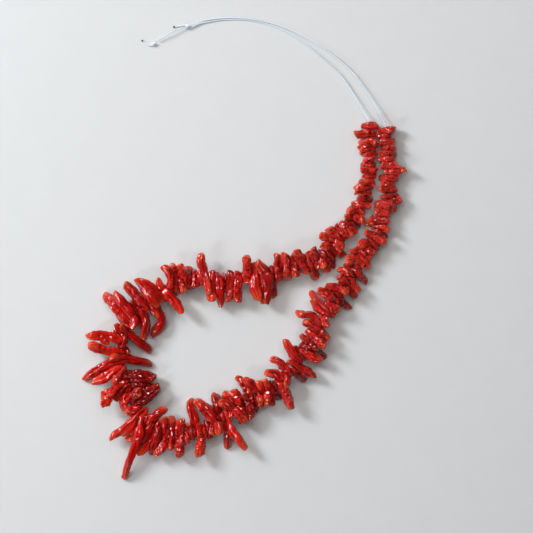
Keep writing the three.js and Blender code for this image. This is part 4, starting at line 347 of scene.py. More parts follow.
def limb_shape(limb, rng, style, sides):
    """Centreline, section radii (ring by side) and how deep each point lies in the grooves, the mask for painted shade
    there, of one limb.
    """
    P = np.asarray(limb, float)
    C = catmull(P, STEP)
    r = swell(C, np.maximum(C[:, 3], 0.35))
    k = np.array([0.25, 0.5, 0.25])
    for _ in range(2):
        r[1:-1] = np.convolve(r, k, "valid")
    C = C[:, :3]
    u = np.array([0.32, 0.6, 0.8, 0.92, 0.985])
    d0 = C[0] - C[1]
    d0 /= np.linalg.norm(d0)
    d1 = C[-1] - C[-2]
    d1 /= np.linalg.norm(d1)
    e0, e1 = r[0] * rng.uniform(0.7, 1.0), r[-1] * rng.uniform(0.7, 1.0)
    f = (1 - u ** 2.7) ** (1 / 2.2)
    C = np.vstack([C[0] + d0 * e0 * u[::-1, None], C, C[-1] + d1 * e1 * u[:, None]])
    cap = np.r_[f[::-1], np.ones(len(r)), f]
    r = np.r_[np.full(5, r[0]), r, np.full(5, r[-1])]
    s = arc(C)
    L = s[-1]
    th = np.linspace(0, 2 * math.pi, sides, endpoint=False)[None, :]
    S = s[:, None]
    ridged, lumpy, facet = style["ridged"], style["lumpy"], style["facet"]
    # parallel strands: rounded crests that meet in narrow grooves
    n = int(style.get("strands") or max(4, round(2 * math.pi * np.median(r) / rng.uniform(0.85, 1.25))))
    tw = rng.uniform(-0.09, 0.09)
    h = np.full((len(s), sides), -9.0)
    w = 2 * math.pi / n
    for j in range(n):
        c = (j + rng.uniform(-0.22, 0.22)) * w + tw * s + 0.42 * w * soft_noise(s, rng, 5.0)
        a = 0.5 + 0.5 * soft_noise(s, rng, 4.0)
        dt = np.angle(np.exp(1j * (th - c[:, None])))
        h = np.maximum(h, 0.35 * a[:, None] - (dt / w) ** 2 * 1.5)
    h = np.clip(h, -0.75, 0.35)
    fade = np.clip(np.minimum(s, L - s) / 1.3, 0.3, 1)[:, None]
    m = 1 + ridged * fade * 0.50 * (h - 0.02)
    # oval, lumps, knobs
    p = rng.uniform(0, 2 * math.pi, 8)
    m = m * (1 + lumpy * (0.06 * np.cos(2 * (th - p[0]) + tw * S) + 0.05 * np.cos(3 * (th - p[1]))))
    for q in range(2):
        m = m * (1 + lumpy * 0.07 * soft_noise(s, rng, 2.4 / (q + 1))[:, None] * np.cos(th - p[2 + q]))
        m = m * (1 + lumpy * 0.045 * soft_noise(s, rng, 1.5)[:, None] * np.cos(2 * (th - p[4 + q])))
    for _ in range(int(style.get("knobs", 2))):
        ka, kb = rng.uniform(0, 2 * math.pi), rng.uniform(0.1, 0.92) * L
        kw = rng.uniform(0.55, 1.0)
        da = np.angle(np.exp(1j * (th - ka)))
        m = m + rng.uniform(0.10, 0.22) * np.exp(-((S - kb) / kw) ** 2 - (da * np.median(r) / kw) ** 2)
    R = r[:, None] * m
    # small irregular creases in the skin
    p3 = np.stack([S * 0.55 + 0 * th, np.median(r) * np.cos(th) + 0 * S, np.median(r) * np.sin(th) + 0 * S], 2)
    for wave, amp in ((3.6, 0.09), (2.8, 0.08), (2.2, 0.065), (1.7, 0.05), (1.3, 0.035)):
        kv = rng.normal(size=3)
        kv *= 2 * math.pi / wave / np.linalg.norm(kv)
        R = R + style["crease"] * fade * amp * (2 / math.pi) * np.arcsin(np.sin(p3 @ kv + rng.uniform(0, 6.28)))
    # broken faces on the chips
    if facet > 0:
        for _ in range(5):
            fa = rng.uniform(0, 2 * math.pi) + 0.25 * soft_noise(s, rng, 3.0)
            fd = r * (rng.uniform(0.80, 1.02) + 0.10 * soft_noise(s, rng, 2.0))
            ct = np.cos(th - fa[:, None])
            lim = np.where(ct > 0.25, fd[:, None] / np.maximum(ct, 0.25), 9.0)
            cut = np.minimum(R, lim)
            R = R * (1 - facet) + cut * facet
    flat = style.get("flat", 1.0)
    if flat != 1.0:
        R = R / np.sqrt(np.cos(th) ** 2 + (np.sin(th) / flat) ** 2)
    # painted shade: how deep a point lies in the grooves becomes a mask that darkens the colour there, standing in for
    # the shade that falls in them
    groove_shade = np.clip((0.10 - h) / 0.45, 0, 1) * min(ridged, 1.0)
    # ends broken off at a slant
    slant = np.zeros(R.shape)
    for d, way in ((s, -1), (L - s, 1)):
        a, k = rng.uniform(0, 2 * math.pi), rng.uniform(0.25, 0.8)
        slant += way * k * R * cap[:, None] * np.cos(th - a) * np.exp(-(d[:, None] / (1.3 * np.median(r))) ** 2)
    return C, R, r, cap, groove_shade, slant


def claim(key, p):
    """How strongly a piece holds the space at p: uneven, so that the pieces don't pack as even slabs."""
    g = np.random.default_rng(900 + key)
    out = np.full(p.shape[:-1], g.uniform(-0.16, 0.16))
    for amp, wave in ((0.16, 3.4), (0.12, 1.9)):
        k = g.normal(size=3)
        k *= 2 * math.pi / wave / np.linalg.norm(k)
        out = out + amp * np.sin(p @ k + g.uniform(0, 6.28))
    return out


def settle(C, R, r, cap, T, A, B, key, others, grow, reach):
    """Let a limb's skin swell into the gaps beside it, or draw back, so that it meets its neighbours without entering them."""
    sides = R.shape[1]
    th = np.linspace(0, 2 * math.pi, sides, endpoint=False)
    U = np.cos(th)[None, :, None] * A[:, None] + np.sin(th)[None, :, None] * B[:, None]
    side = 1 - 0.75 * np.abs(U[:, :, 2])
    lo, hi = C.min(0) - 3.5, C.max(0) + 3.5
    near = []
    for k, o in others:
        o = o[((o[:, :3] > lo) & (o[:, :3] < hi)).all(1)]
        if len(o):
            near.append((k, o))
    # the same borders are found for every ring and side, in steps outwards
    steps = np.linspace(-0.5, grow, 10)
    best = np.full(R.shape, steps[0])
    for g in steps:
        gg = g * (side if g > 0 else 1)
        gg = np.minimum(gg, np.maximum(grow * side * reach[:, None], min(g, 0)))
        p = C[:, None] + (R + gg)[:, :, None] * U
        q = p.reshape(-1, 3)
        mine = claim(key, q)
        free = np.full(len(q), 9.0)
        bare = np.full(len(q), 9.0)
        for k, o in near:
            dd = (np.sqrt(np.maximum((q ** 2).sum(1)[:, None] + (o[:, :3] ** 2).sum(1)[None] - 2 * q @ o[:, :3].T, 0)) - o[None, :, 3]).min(1)
            free = np.minimum(free, dd + claim(k, q))
            bare = np.minimum(bare, dd)
        own = (R + gg - r[:, None]).reshape(-1) + mine
        # swelling only fills a gap beside a neighbour; open sides keep their own shape
        ok = (own <= free - 0.05).reshape(R.shape) & (p[:, :, 2] <= TOP) & ((gg <= OPEN_GROW) | (bare < 1.15).reshape(R.shape))
        best = np.where(ok, np.maximum(best, gg), best)
    best = (best + np.roll(best, 1, 1) + np.roll(best, -1, 1)) / 3
    b = best.copy()
    b[1:-1] = (best[:-2] + best[1:-1] + best[2:]) / 3
    return np.maximum(R + b, 0.4) * cap[:, None]


def boolean(ob, other, op):
    mod = ob.modifiers.new("b", "BOOLEAN")
    mod.operation = op
    mod.object = other
    mod.solver = "MANIFOLD"
    dg = bpy.context.evaluated_depsgraph_get()
    me = bpy.data.meshes.new_from_object(ob.evaluated_get(dg))
    old = ob.data
    ob.modifiers.clear()
    if len(me.polygons) == 0:
        bpy.data.meshes.remove(me)
        raise RuntimeError("empty boolean on " + ob.name)
    ob.data = me
    bpy.data.meshes.remove(old)


def nearest_on(C, V):
    """Distance along C, and index, of the centreline point nearest each vertex."""
    s = arc(C)
    D = ((V[:, None, :] - C[None, :, :]) ** 2).sum(2)
    k = D.argmin(1)
    return s[k], np.sqrt(D[np.arange(len(V)), k]), k


def set_float(me, name, values):
    at = me.attributes.new(name, "FLOAT", "POINT")
    at.data.foreach_set("value", np.asarray(values, np.float32))


def set_vector(me, name, values):
    at = me.attributes.new(name, "FLOAT_VECTOR", "POINT")
    at.data.foreach_set("vector", np.asarray(values, np.float32).reshape(-1))


# ---- materials ----------------------------------------------------------------
CHIP_CELLS, CHIP_LEAN = 1200.0, 0.85
STRIP_CELLS, STRIP_LEAN = 1.6, 0.36


def coral_material():
    mat = bpy.data.materials.new("coral")
    mat.use_nodes = True
    nt = mat.node_tree
    nd = nt.nodes
    lk = nt.links
    bs = nd["Principled BSDF"]

    def node(kind, **kw):
        x = nd.new(kind)
        for k, v in kw.items():
            setattr(x, k, v)
        return x

    def attr(name, out):
        a = node("ShaderNodeAttribute", attribute_type="GEOMETRY", attribute_name=name)
        return a.outputs[out]

    def math_(op, a, b=None, clamp=False):
        x = node("ShaderNodeMath", operation=op, use_clamp=clamp)
        for i, v in enumerate((a, b)):
            if v is None:
                continue
            if isinstance(v, (int, float)):
                x.inputs[i].default_value = v
            else:
                lk.new(v, x.inputs[i])
        return x.outputs[0]

    def mix(fac, a, b, blend="MIX"):
        x = node("ShaderNodeMix", data_type="RGBA", blend_type=blend)
        for i, v in ((0, fac), (6, a), (7, b)):
            if isinstance(v, (int, float)):
                x.inputs[i].default_value = v
            elif isinstance(v, tuple):
                x.inputs[i].default_value = v
            else:
                lk.new(v, x.inputs[i])
        return x.outputs[2]

    chip = attr("chip", "Fac")
    flow, tip, tone, warm, groove_shade = attr("flow", "Vector"), attr("tip", "Fac"), attr("tone", "Fac"), attr("warm", "Fac"), attr("groove_shade", "Fac")
    # grain drawn out along each limb
    grain = node("ShaderNodeTexNoise", noise_dimensions="3D")
    grain.inputs["Scale"].default_value = 1.0
    grain.inputs["Detail"].default_value = 5.0
    grain.inputs["Roughness"].default_value = 0.62
    lk.new(flow, grain.inputs["Vector"])
    cloud = node("ShaderNodeTexNoise", noise_dimensions="3D")
    cloud.inputs["Scale"].default_value = 330.0
    cloud.inputs["Detail"].default_value = 3.0
    co = node("ShaderNodeNewGeometry")
    lk.new(co.outputs["Position"], cloud.inputs["Vector"])
    deep = (0.20, 0.0012, 0.0008, 1)
    red = (0.44, 0.0036, 0.0020, 1)
    bright = (0.60, 0.015, 0.007, 1)
    tip_glow_colour = (0.74, 0.072, 0.022, 1)
    pink = (0.55, 0.042, 0.030, 1)
    groove_shade_colour = (0.13, 0.0010, 0.0012, 1)
    t = math_("ADD", tone, math_("MULTIPLY", math_("SUBTRACT", cloud.outputs["Fac"], 0.5), 0.55), True)
    r1 = node("ShaderNodeMapRange")
    r1.inputs["From Min"].default_value = 0.08
    r1.inputs["From Max"].default_value = 0.52
    lk.new(t, r1.inputs["Value"])
    c = mix(r1.outputs[0], deep, red)
    r2 = node("ShaderNodeMapRange")
    r2.inputs["From Min"].default_value = 0.48
    r2.inputs["From Max"].default_value = 0.95
    lk.new(t, r2.inputs["Value"])
    c = mix(r2.outputs[0], c, bright)
    c = mix(math_("MULTIPLY", warm, 0.8, True), c, pink)
    # painted light: the outer tips turn a lighter orange, standing in for light glowing through the thin ends
    tip_glow_mix = math_("MULTIPLY", math_("POWER", tip, 1.4), math_("ADD", math_("MULTIPLY", tone, 0.9), 0.22), True)
    c = mix(tip_glow_mix, c, tip_glow_colour)
    g = node("ShaderNodeMapRange")
    g.inputs["From Min"].default_value = 0.36
    g.inputs["From Max"].default_value = 0.64
    g.inputs["To Min"].default_value = 0.72
    g.inputs["To Max"].default_value = 1.16
    lk.new(grain.outputs["Fac"], g.inputs["Value"])
    comb = node("ShaderNodeCombineColor")
    for i in range(3):
        lk.new(g.outputs[0], comb.inputs[i])
    c = mix(1.0, c, comb.outputs[0], "MULTIPLY")
    # painted shade: the grooves are darkened toward a near-black red
    c = mix(math_("MULTIPLY", groove_shade, 0.34, True), c, groove_shade_colour)
    lk.new(c, bs.inputs["Base Color"])
    rr = node("ShaderNodeMapRange")
    rr.inputs["To Min"].default_value = 0.025
    rr.inputs["To Max"].default_value = 0.075
    lk.new(grain.outputs["Fac"], rr.inputs["Value"])
    lk.new(rr.outputs[0], bs.inputs["Roughness"])
    bump = node("ShaderNodeBump")
    bump.inputs["Strength"].default_value = 0.35
    bump.inputs["Distance"].default_value = 0.00025
    lk.new(grain.outputs["Fac"], bump.inputs["Height"])

    def vmath(op, a, b=None, scale=None):
        x = node("ShaderNodeVectorMath", operation=op)
        for i, v in enumerate((a, b)):
            if isinstance(v, tuple):
                x.inputs[i].default_value = v
            elif v is not None:
                lk.new(v, x.inputs[i])
        if isinstance(scale, (int, float)):
            x.inputs["Scale"].default_value = scale
        elif scale is not None:
            lk.new(scale, x.inputs["Scale"])
        return x.outputs[0]

    # small flat faces, each leaning its own way: broken ones all over, and long ones that follow the limb
    cells = node("ShaderNodeTexVoronoi", feature="F1")
    cells.inputs["Scale"].default_value = CHIP_CELLS
    cells.inputs["Randomness"].default_value = 1.0
    lk.new(vmath("ADD", co.outputs["Position"], vmath("SCALE", cloud.outputs["Color"], None, 0.0012)), cells.inputs["Vector"])
    lean = vmath("SCALE", vmath("SUBTRACT", cells.outputs["Color"], (0.5, 0.5, 0.5)), None, math_("ADD", math_("MULTIPLY", chip, CHIP_LEAN), 0.08))
    strips = node("ShaderNodeTexVoronoi", feature="F1")
    strips.inputs["Scale"].default_value = STRIP_CELLS
    strips.inputs["Randomness"].default_value = 1.0
    lk.new(vmath("MULTIPLY", vmath("ADD", flow, vmath("SCALE", grain.outputs["Color"], None, 0.25)), (0.4, 1.0, 1.0)), strips.inputs["Vector"])
    lean = vmath("ADD", lean, vmath("SCALE", vmath("SUBTRACT", strips.outputs["Color"], (0.5, 0.5, 0.5)), None, STRIP_LEAN))
    lk.new(vmath("NORMALIZE", vmath("ADD", bump.outputs[0], lean)), bs.inputs["Normal"])
    bs.inputs["IOR"].default_value = 1.55
    return mat


def nylon_material(name, color, transmission, rough):
    mat = bpy.data.materials.new(name)
    mat.use_nodes = True
    nt = mat.node_tree
    bs = nt.nodes["Principled BSDF"]
    noise = nt.nodes.new("ShaderNodeTexNoise")
    noise.inputs["Scale"].default_value = 260.0
    co = nt.nodes.new("ShaderNodeNewGeometry")
    nt.links.new(co.outputs["Position"], noise.inputs["Vector"])
    ramp = nt.nodes.new("ShaderNodeMapRange")
    ramp.inputs["To Min"].default_value = rough * 0.7
    ramp.inputs["To Max"].default_value = rough * 1.4
    nt.links.new(noise.outputs["Fac"], ramp.inputs["Value"])
    nt.links.new(ramp.outputs[0], bs.inputs["Roughness"])
    bs.inputs["Base Color"].default_value = (*color, 1)
    bs.inputs["Transmission Weight"].default_value = transmission
    bs.inputs["IOR"].default_value = 1.53
    return mat


CORAL = coral_material()
NYLON = nylon_material("nylon", (0.80, 0.91, 0.99), 0.22, 0.14)
MELTED = nylon_material("nylon_melted_end", (0.02, 0.03, 0.06), 0.0, 0.3)

# ---- coral pieces ---------------------------------------------------------------
line_path = catmull(THREADED, 1.2)[:, :3]
hole_line = catmull(THREADED, 0.4)[:, :3]
hole_V, hole_F = tube(line_path, np.full(len(line_path), HOLE_RADIUS), 12)
hole = link("tool_hole", new_mesh("tool_hole", hole_V, hole_F))
bx = [(-400, -400, -30), (400, -400, -30), (400, 400, -30), (-400, 400, -30), (-400, -400, 0.0), (400, -400, 0.0), (400, 400, 0.0), (-400, 400, 0.0)]
below = link("tool_below", new_mesh("tool_below", bx, [(0, 3, 2, 1), (4, 5, 6, 7), (0, 1, 5, 4), (1, 2, 6, 5), (2, 3, 7, 6), (3, 0, 4, 7)]))

STYLE = {75: {'strands': 9, 'ridged': 1.2, 'lumpy': 1.2, 'crease': 0.8, 'facet': 0.0}, 50: {'strands': 12, 'ridged': 0.9, 'lumpy': 1.1, 'crease': 0.9, 'facet': 0.1, 'flat': 0.8}, 73: {'strands': 12, 'ridged': 1.0, 'lumpy': 1.1, 'crease': 0.9, 'facet': 0.1, 'flat': 0.85}, 67: {'strands': 11, 'ridged': 0.8, 'lumpy': 1.3, 'crease': 1.0, 'facet': 0.1, 'flat': 0.85}, 99: {'strands': 12, 'ridged': 1.0, 'lumpy': 1.1, 'crease': 0.8, 'facet': 0.1, 'flat': 0.85}, 76: {'strands': 6, 'ridged': 0.6, 'lumpy': 1.0, 'crease': 0.7, 'facet': 0.0, 'knobs': 1, 'grow': 0.6}, 58: {'ridged': 0.5, 'lumpy': 0.8, 'crease': 0.6, 'facet': 0.1, 'knobs': 1}, 63: {'ridged': 0.5, 'lumpy': 0.8, 'crease': 0.6, 'facet': 0.1, 'knobs': 1}, 97: {'strands': 6, 'ridged': 0.6, 'lumpy': 0.8, 'crease': 0.6, 'facet': 0.0, 'knobs': 1}, 96: {'ridged': 0.5, 'lumpy': 0.8, 'crease': 0.6, 'knobs': 1}}
DEFAULT = {"branch": dict(ridged=0.8, lumpy=1.6, facet=0.25, crease=1.3, knobs=4, grow=1.0), "chip": dict(ridged=0.6, lumpy=1.8, facet=0.6, crease=1.7, knobs=3, grow=1.2)}

def within(tree, p):
    for ray in PRESS_RAYS:
        q, crossed = Vector(p), 0
        while crossed < 40:
            hit = tree.ray_cast(q, ray)[0]
            if hit is None:
                break
            crossed += 1
            q = hit + ray * 1e-4
        if crossed % 2 == 0:
            return False
    return True


def give_way(obs):
    # where two neighbours press into each other, both surfaces meet halfway
    V, faces = [], []
    for ob in obs:
        co = np.zeros(len(ob.data.vertices) * 3, np.float32)
        ob.data.vertices.foreach_get("co", co)
        V.append(co.reshape(-1, 3).astype(float) / MM)
        faces.append([tuple(p.vertices) for p in ob.data.polygons])
    moved = set()
    for turn in range(PRESS_ROUNDS):
        trees = [BVHTree.FromPolygons(v.tolist(), f) for v, f in zip(V, faces)]
        low, high = [v.min(0) for v in V], [v.max(0) for v in V]
        move = {}
        for i in range(len(V)):
            for j in range(i + 1, len(V)):
                if (low[i] > high[j]).any() or (low[j] > high[i]).any() or not trees[i].overlap(trees[j]):
                    continue
                for a, b in ((i, j), (j, i)):
                    for k in np.nonzero(((V[a] > low[b]) & (V[a] < high[b])).all(1))[0]:
                        if not within(trees[b], V[a][k]):
                            continue
                        at, _, _, deep = trees[b].find_nearest(Vector(V[a][k]))
                        step = (np.array(at) - V[a][k]) * (0.5 + PRESS_GAP / max(deep, PRESS_GAP))
                        if (step ** 2).sum() > (move.get((a, k), np.zeros(3)) ** 2).sum():
                            move[(a, k)] = step
        for (a, k), step in move.items():
            V[a][k] += step
            V[a][k][2] = max(V[a][k][2], 0.0)
            moved.add(a)
        print("pressed points", turn, len(move))
    for a in sorted(moved):
        me = obs[a].data
        me.vertices.foreach_set("co", (V[a] * MM).astype(np.float32).reshape(-1))
        me.update()
        me.set_sharp_from_angle(angle=math.radians(40))


skin = []
for number, node_name, tone, warm, limbs in PIECES:
    rows = np.vstack([catmull(l, 0.5) for l in limbs])
    rows[:, 3] = swell(rows, rows[:, 3])
    skin.append(rows)

corals = []
total = 0
for index, (number, node_name, tone, warm, limbs) in enumerate(PIECES):
    rng = np.random.default_rng(4100 + number)
    name = "coral_piece_%03d" % number
    kind = "chip" if "chips" in node_name else "branch"
    style = dict(DEFAULT[kind])
    style.update(STYLE.get(number, {}))
    near = [k for k in range(len(PIECES)) if k != index and np.all(skin[k][:, :3].min(0) < skin[index][:, :3].max(0) + 4) and np.all(skin[k][:, :3].max(0) > skin[index][:, :3].min(0) - 4)]
    others = [(PIECES[k][0], skin[k]) for k in near]
    ob = None
    lines = []
    for li, limb in enumerate(limbs):
        rmax = max(p[3] for p in limb)
        sides = 44 if rmax > 1.15 else 32
        C, R, r, cap, groove_shade, slant = limb_shape(limb, rng, style, sides)
        fr = frames(C)
        L = arc(C)[-1]
        reach = np.clip(np.minimum(arc(C), L - arc(C)) / 3.0, 0.25 if kind == "branch" else 0.5, 1)
        R = settle(C, R, r, cap, *fr, number, others, style["grow"], reach)
        V, F = tube(C, R, sides, fr, slant)
        lines.append((C, fr, groove_shade, li))
        part = link("tmp", new_mesh("tmp", V, F))
        if ob is None:
            ob = part
            ob.name = name
        else:
            boolean(ob, part, "UNION")
            bpy.data.objects.remove(part)
    if len(limbs) > 1:
        mod = ob.modifiers.new("r", "REMESH")
        mod.mode = "VOXEL"
        mod.voxel_size = 0.24 * MM
        sm = ob.modifiers.new("s", "SMOOTH")
        sm.factor = 0.5
        sm.iterations = 3
        dg = bpy.context.evaluated_depsgraph_get()
        me = bpy.data.meshes.new_from_object(ob.evaluated_get(dg))
        old = ob.data
        ob.modifiers.clear()
        ob.data = me
        bpy.data.meshes.remove(old)
    boolean(ob, hole, "DIFFERENCE")
    if min(v.co.z for v in ob.data.vertices) < 0:
        boolean(ob, below, "DIFFERENCE")
    me = ob.data
    me.name = name
    Vn = np.zeros(len(me.vertices) * 3, np.float32)
    me.vertices.foreach_get("co", Vn)
    Vn = Vn.reshape(-1, 3) / MM
    # which limb, how far along it, how near its tip (the mask for the painted glow at the tips) and how deep in the
    # grooves (the mask for painted shade) each point is
    best = np.full(len(Vn), 1e9)
    tip_glow_at = np.zeros(len(Vn))
    groove_shade_at = np.zeros(len(Vn))
    flow = np.zeros((len(Vn), 3))
    for C, (T, A, B), groove_shade, li in lines:
        s, d, k = nearest_on(C, Vn)
        L = arc(C)[-1]
        rel = Vn - C[k]
        ang = np.arctan2((rel * B[k]).sum(1), (rel * A[k]).sum(1))
        # painted glow at the tips: strongest at the outer ends, left off the ends that sit at the hole
        span = max(2.2, 0.3 * L)
        if li == 0:
            drilled = ((hole_line[:, None] - C[None]) ** 2).sum(2)
            at = arc(C)[np.unravel_index(drilled.argmin(), drilled.shape)[1]]
            w0, w1 = np.clip((at - 2.5) / 3, 0, 1), np.clip((L - at - 2.5) / 3, 0, 1)
            tip_glow_here = np.maximum(w0 * np.clip(1 - s / span, 0, 1), w1 * np.clip(1 - (L - s) / span, 0, 1))
        else:
            tip_glow_here = np.clip(1 - (L - s) / span, 0, 1)
        take = d < best
        best[take] = d[take]
        tip_glow_at[take] = tip_glow_here[take]
        sd = groove_shade.shape[1]
        kk = np.round(ang / (2 * math.pi) * sd).astype(int) % sd
        groove_shade_at[take] = groove_shade[k, kk][take]
        fl = np.stack([s * 0.35 + number * 7.3 + li * 3.1, 1.7 * np.cos(ang), 1.7 * np.sin(ang)], 1)
        flow[take] = fl[take]
    set_float(me, "tip", tip_glow_at)
    set_float(me, "groove_shade", groove_shade_at)
    set_float(me, "chip", np.full(len(Vn), 1.0 if kind == "chip" else 0.0))
    set_float(me, "tone", np.full(len(Vn), tone))
    set_float(me, "warm", np.full(len(Vn), warm))
    set_vector(me, "flow", flow)
    me.materials.clear()
    me.materials.append(CORAL)
    me.shade_smooth()
    me.set_sharp_from_angle(angle=math.radians(40))
    total += sum(len(p.vertices) - 2 for p in me.polygons)
    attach(ob, "root")
    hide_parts(node_name)
    corals.append(ob)
bpy.data.objects.remove(hole)
bpy.data.objects.remove(below)
give_way(corals)
print("coral triangles", total)


# ---- nylon line -------------------------------------------------------------------
def nylon_curve(name, pts, step=3.2):
    C = catmull(pts, 0.4)[:, :3]
    s = arc(C)
    n = max(15, min(40, int(s[-1] / step)))
    t = np.linspace(0, s[-1], n)
    Q = np.stack([np.interp(t, s, C[:, k]) for k in range(3)], 1)
    cu = bpy.data.curves.new(name, "CURVE")
    cu.dimensions = "3D"
    sp = cu.splines.new("BEZIER")
    sp.bezier_points.add(n - 1)
    for i, q in enumerate(Q):
        b = sp.bezier_points[i]
        b.co = Vector(q) * MM
        b.handle_left_type = b.handle_right_type = "AUTO"
    cu.bevel_depth = LINE_RADIUS * MM
    cu.bevel_resolution = 4
    cu.resolution_u = 8
    cu.use_fill_caps = True
    cu.materials.append(NYLON)
    ob = bpy.data.objects.new(name, cu)
    bpy.context.scene.collection.objects.link(ob)
    return ob, s[-1]


def mesh_tube(name, pts, radius, mat, step=0.12, sides=12, end=None):
    C = catmull(pts, step)[:, :3]
    R = np.full(len(C), radius)
    if end:
        s = arc(C)
        R = R + (end - radius) * np.exp(-((s[-1] - s) / 0.45) ** 2)
    u = np.array([0.5, 0.85, 0.98])
    d0 = (C[0] - C[1]) / np.linalg.norm(C[0] - C[1])
    d1 = (C[-1] - C[-2]) / np.linalg.norm(C[-1] - C[-2])
    C = np.vstack([C[0] + d0 * R[0] * 0.5 * u[::-1, None], C, C[-1] + d1 * R[-1] * 0.8 * u[:, None]])
    f = np.sqrt(1 - u ** 2)
    R = np.r_[R[0] * f[::-1], R, R[-1] * f]
    V, F = tube(C, R, sides)
    me = new_mesh(name, V, F)
    me.materials.append(mat)
    me.shade_smooth()
    return link(name, me)


threaded_V, threaded_F = tube(catmull(THREADED, 0.9)[:, :3], np.full(len(catmull(THREADED, 0.9)), LINE_RADIUS), 10)
me = new_mesh("nylon_line_threaded", threaded_V, threaded_F)
me.materials.append(NYLON)
me.shade_smooth()
threaded = link("nylon_line_threaded", me)
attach(threaded, "root")
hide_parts("line_threaded")

end_a, len_a = nylon_curve("nylon_end_a", END_A)
end_b, len_b = nylon_curve("nylon_end_b", END_B)


def coil(centre, axis, turns, radius, length, lean=0.0, phase=0.0):
    """Points of a close wrap round an axis."""
    c = np.array(centre, float)
    d = np.array(axis, float)
    d /= np.linalg.norm(d)
    a = np.cross(d, [0, 0, 1.0])
    a /= np.linalg.norm(a)
    b = np.cross(d, a)
    out = []
    for t in np.linspace(0, 1, int(turns * 10) + 1):
        w = 2 * math.pi * turns * t + phase
        r = radius * (1 - 0.12 * (2 * t - 1) ** 2)
        out.append(c + d * (t - 0.5) * length + r * (math.cos(w) * a + math.sin(w) * b))
    return out


def knot(prefix, centre, axis, tail, turns, radius, length, node, phase=0.0):
    wrap = mesh_tube(prefix + "_wraps", coil(centre, axis, turns, radius, length, phase=phase), LINE_RADIUS, NYLON)
    t = np.array(tail, float)
    tl = mesh_tube(prefix + "_tail", tail, LINE_RADIUS, NYLON, end=0.30)
    d = t[-1] - t[-2]
    d /= np.linalg.norm(d)
    tip = mesh_tube(prefix + "_melted_tip", [t[-1] - d * 0.15, t[-1] + d * 0.15, t[-1] + d * 0.4], 0.36, MELTED, step=0.08)
    out = [wrap, tl, tip]
    for o in out:
        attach(o, "root")
        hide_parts(node)
    return out


ka = np.array(KNOT_A[0]); dka = np.array(KNOT_A[2]) - np.array(KNOT_A[1])
knot_a = knot("knot_a", ka, dka, TAIL_A, 3.5, 0.58, 1.9, "knot_a", phase=0.6)
kb = np.array(KNOT_B[0]); dkb = np.array(END_B[-2]) - np.array(END_B[-1])
knot_b = knot("knot_b", kb, -dkb, TAIL_B, 3.2, 0.42, 1.5, "knot_b", phase=2.0)

for ob, length, pieces, node_name, start in ((end_a, len_a, knot_a, "line_end_a", END_A[0]), (end_b, len_b, knot_b, "line_end_b", END_B[0])):
    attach(ob, "root")
    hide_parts(node_name)

# ---- floor and light ---------------------------------------------------------------
floor_me = new_mesh("floor", [(-3000, -3000, 0), (3000, -3000, 0), (3000, 3000, 0), (-3000, 3000, 0)], [(0, 1, 2, 3)])
floor = link("floor", floor_me)
fm = bpy.data.materials.new("floor")
fm.use_nodes = True
fb = fm.node_tree.nodes["Principled BSDF"]
fn = fm.node_tree.nodes.new("ShaderNodeTexNoise")
fn.inputs["Scale"].default_value = 90.0
fn.inputs["Detail"].default_value = 6.0
fo = fm.node_tree.nodes.new("ShaderNodeNewGeometry")
fm.node_tree.links.new(fo.outputs["Position"], fn.inputs["Vector"])
fx = fm.node_tree.nodes.new("ShaderNodeMix")
fx.data_type = "RGBA"
fx.inputs[6].default_value = (0.622, 0.627, 0.631, 1)
fx.inputs[7].default_value = (0.652, 0.657, 0.661, 1)
fm.node_tree.links.new(fn.outputs["Fac"], fx.inputs[0])
fm.node_tree.links.new(fx.outputs[2], fb.inputs["Base Color"])
fb.inputs["Roughness"].default_value = 0.75
fb.inputs["Specular IOR Level"].default_value = 0.25
floor_me.materials.append(fm)

world = bpy.data.worlds.new("world")
bpy.context.scene.world = world
world.use_nodes = True
wn = world.node_tree
bg = wn.nodes["Background"]


def wnode(kind, **kw):
    x = wn.nodes.new(kind)
    for k, v in kw.items():
        setattr(x, k, v)
    return x


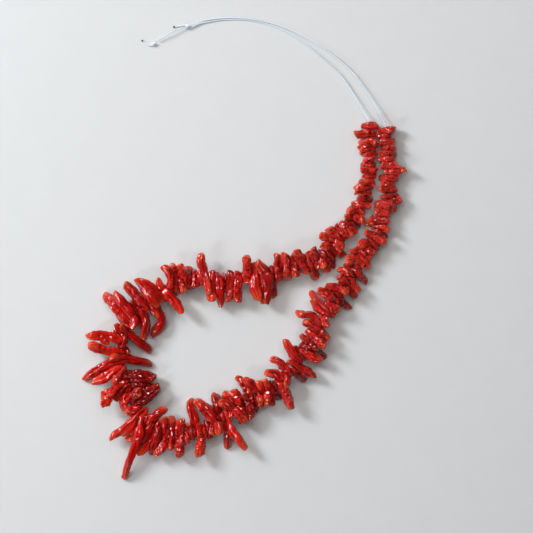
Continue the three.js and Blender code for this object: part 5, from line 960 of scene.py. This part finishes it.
co = wnode("ShaderNodeTexCoord")
sep = wnode("ShaderNodeSeparateXYZ")
wn.links.new(co.outputs["Generated"], sep.inputs[0])
ramp = wnode("ShaderNodeValToRGB")
wn.links.new(sep.outputs["Z"], ramp.inputs[0])
SKY = ((0.0, 0.55), (0.30, 1.0), (0.55, 0.60), (0.72, 0.08), (1.0, 0.03))
for e, (p, v) in enumerate(SKY):
    el = ramp.color_ramp.elements[e] if e < 2 else ramp.color_ramp.elements.new(p)
    el.position = p
    el.color = (v, v, v, 1)
for el, (p, v) in zip(ramp.color_ramp.elements, SKY):
    el.position = p
    el.color = (v, v, v, 1)
turn = wnode("ShaderNodeVectorMath", operation="DOT_PRODUCT")
wn.links.new(co.outputs["Generated"], turn.inputs[0])
turn.inputs[1].default_value = (-0.94, 0.34, 0.0)
lobe = wnode("ShaderNodeMapRange")
lobe.inputs["From Min"].default_value = -0.75
lobe.inputs["From Max"].default_value = 0.9
lobe.inputs["To Min"].default_value = 0.16
lobe.inputs["To Max"].default_value = 1.0
wn.links.new(turn.outputs["Value"], lobe.inputs["Value"])
both = wnode("ShaderNodeMath", operation="MULTIPLY")
wn.links.new(ramp.outputs[0], both.inputs[0])
wn.links.new(lobe.outputs[0], both.inputs[1])
bg.inputs["Color"].default_value = (1.0, 0.975, 0.95, 1)
gain = wnode("ShaderNodeMath", operation="MULTIPLY")
gain.inputs[1].default_value = 0.7
wn.links.new(both.outputs[0], gain.inputs[0])
wn.links.new(gain.outputs[0], bg.inputs["Strength"])


def area(name, azimuth, elevation, distance, size, power, color):
    """A square softbox; azimuth is the way it stands from the strand, 0 = +X, counter-clockwise."""
    li = bpy.data.lights.new(name, "AREA")
    li.shape = "RECTANGLE"
    li.size, li.size_y = size
    li.energy = power
    li.color = color
    ob = bpy.data.objects.new(name, li)
    bpy.context.scene.collection.objects.link(ob)
    a, e = math.radians(azimuth), math.radians(elevation)
    d = Vector((math.cos(e) * math.cos(a), math.cos(e) * math.sin(a), math.sin(e)))
    ob.location = Vector((CENTRE[0], CENTRE[1], 0)) + d * distance
    ob.rotation_euler = d.to_track_quat("Z", "Y").to_euler()
    return ob


area("window", 150, 34, 1.15, (0.24, 0.34), 10.6, (0.91, 0.96, 1.0))
area("window_two", 216, 36, 1.10, (0.06, 0.30), 2.3, (0.94, 0.97, 1.0))
# the rest of the window wall, too dim to show in the gloss
wall = area("window_wall", 128, 44, 1.20, (0.90, 0.90), 3.6, (0.96, 0.98, 1.0))
wall.visible_glossy = False
room = area("room", 84, 76, 1.30, (1.2, 1.2), 6.6, (1.0, 0.95, 0.91))
room.visible_glossy = False

scene = bpy.context.scene
scene.view_settings.view_transform = "Standard"
scene.view_settings.look = "None"
scene.view_settings.exposure = 0.0
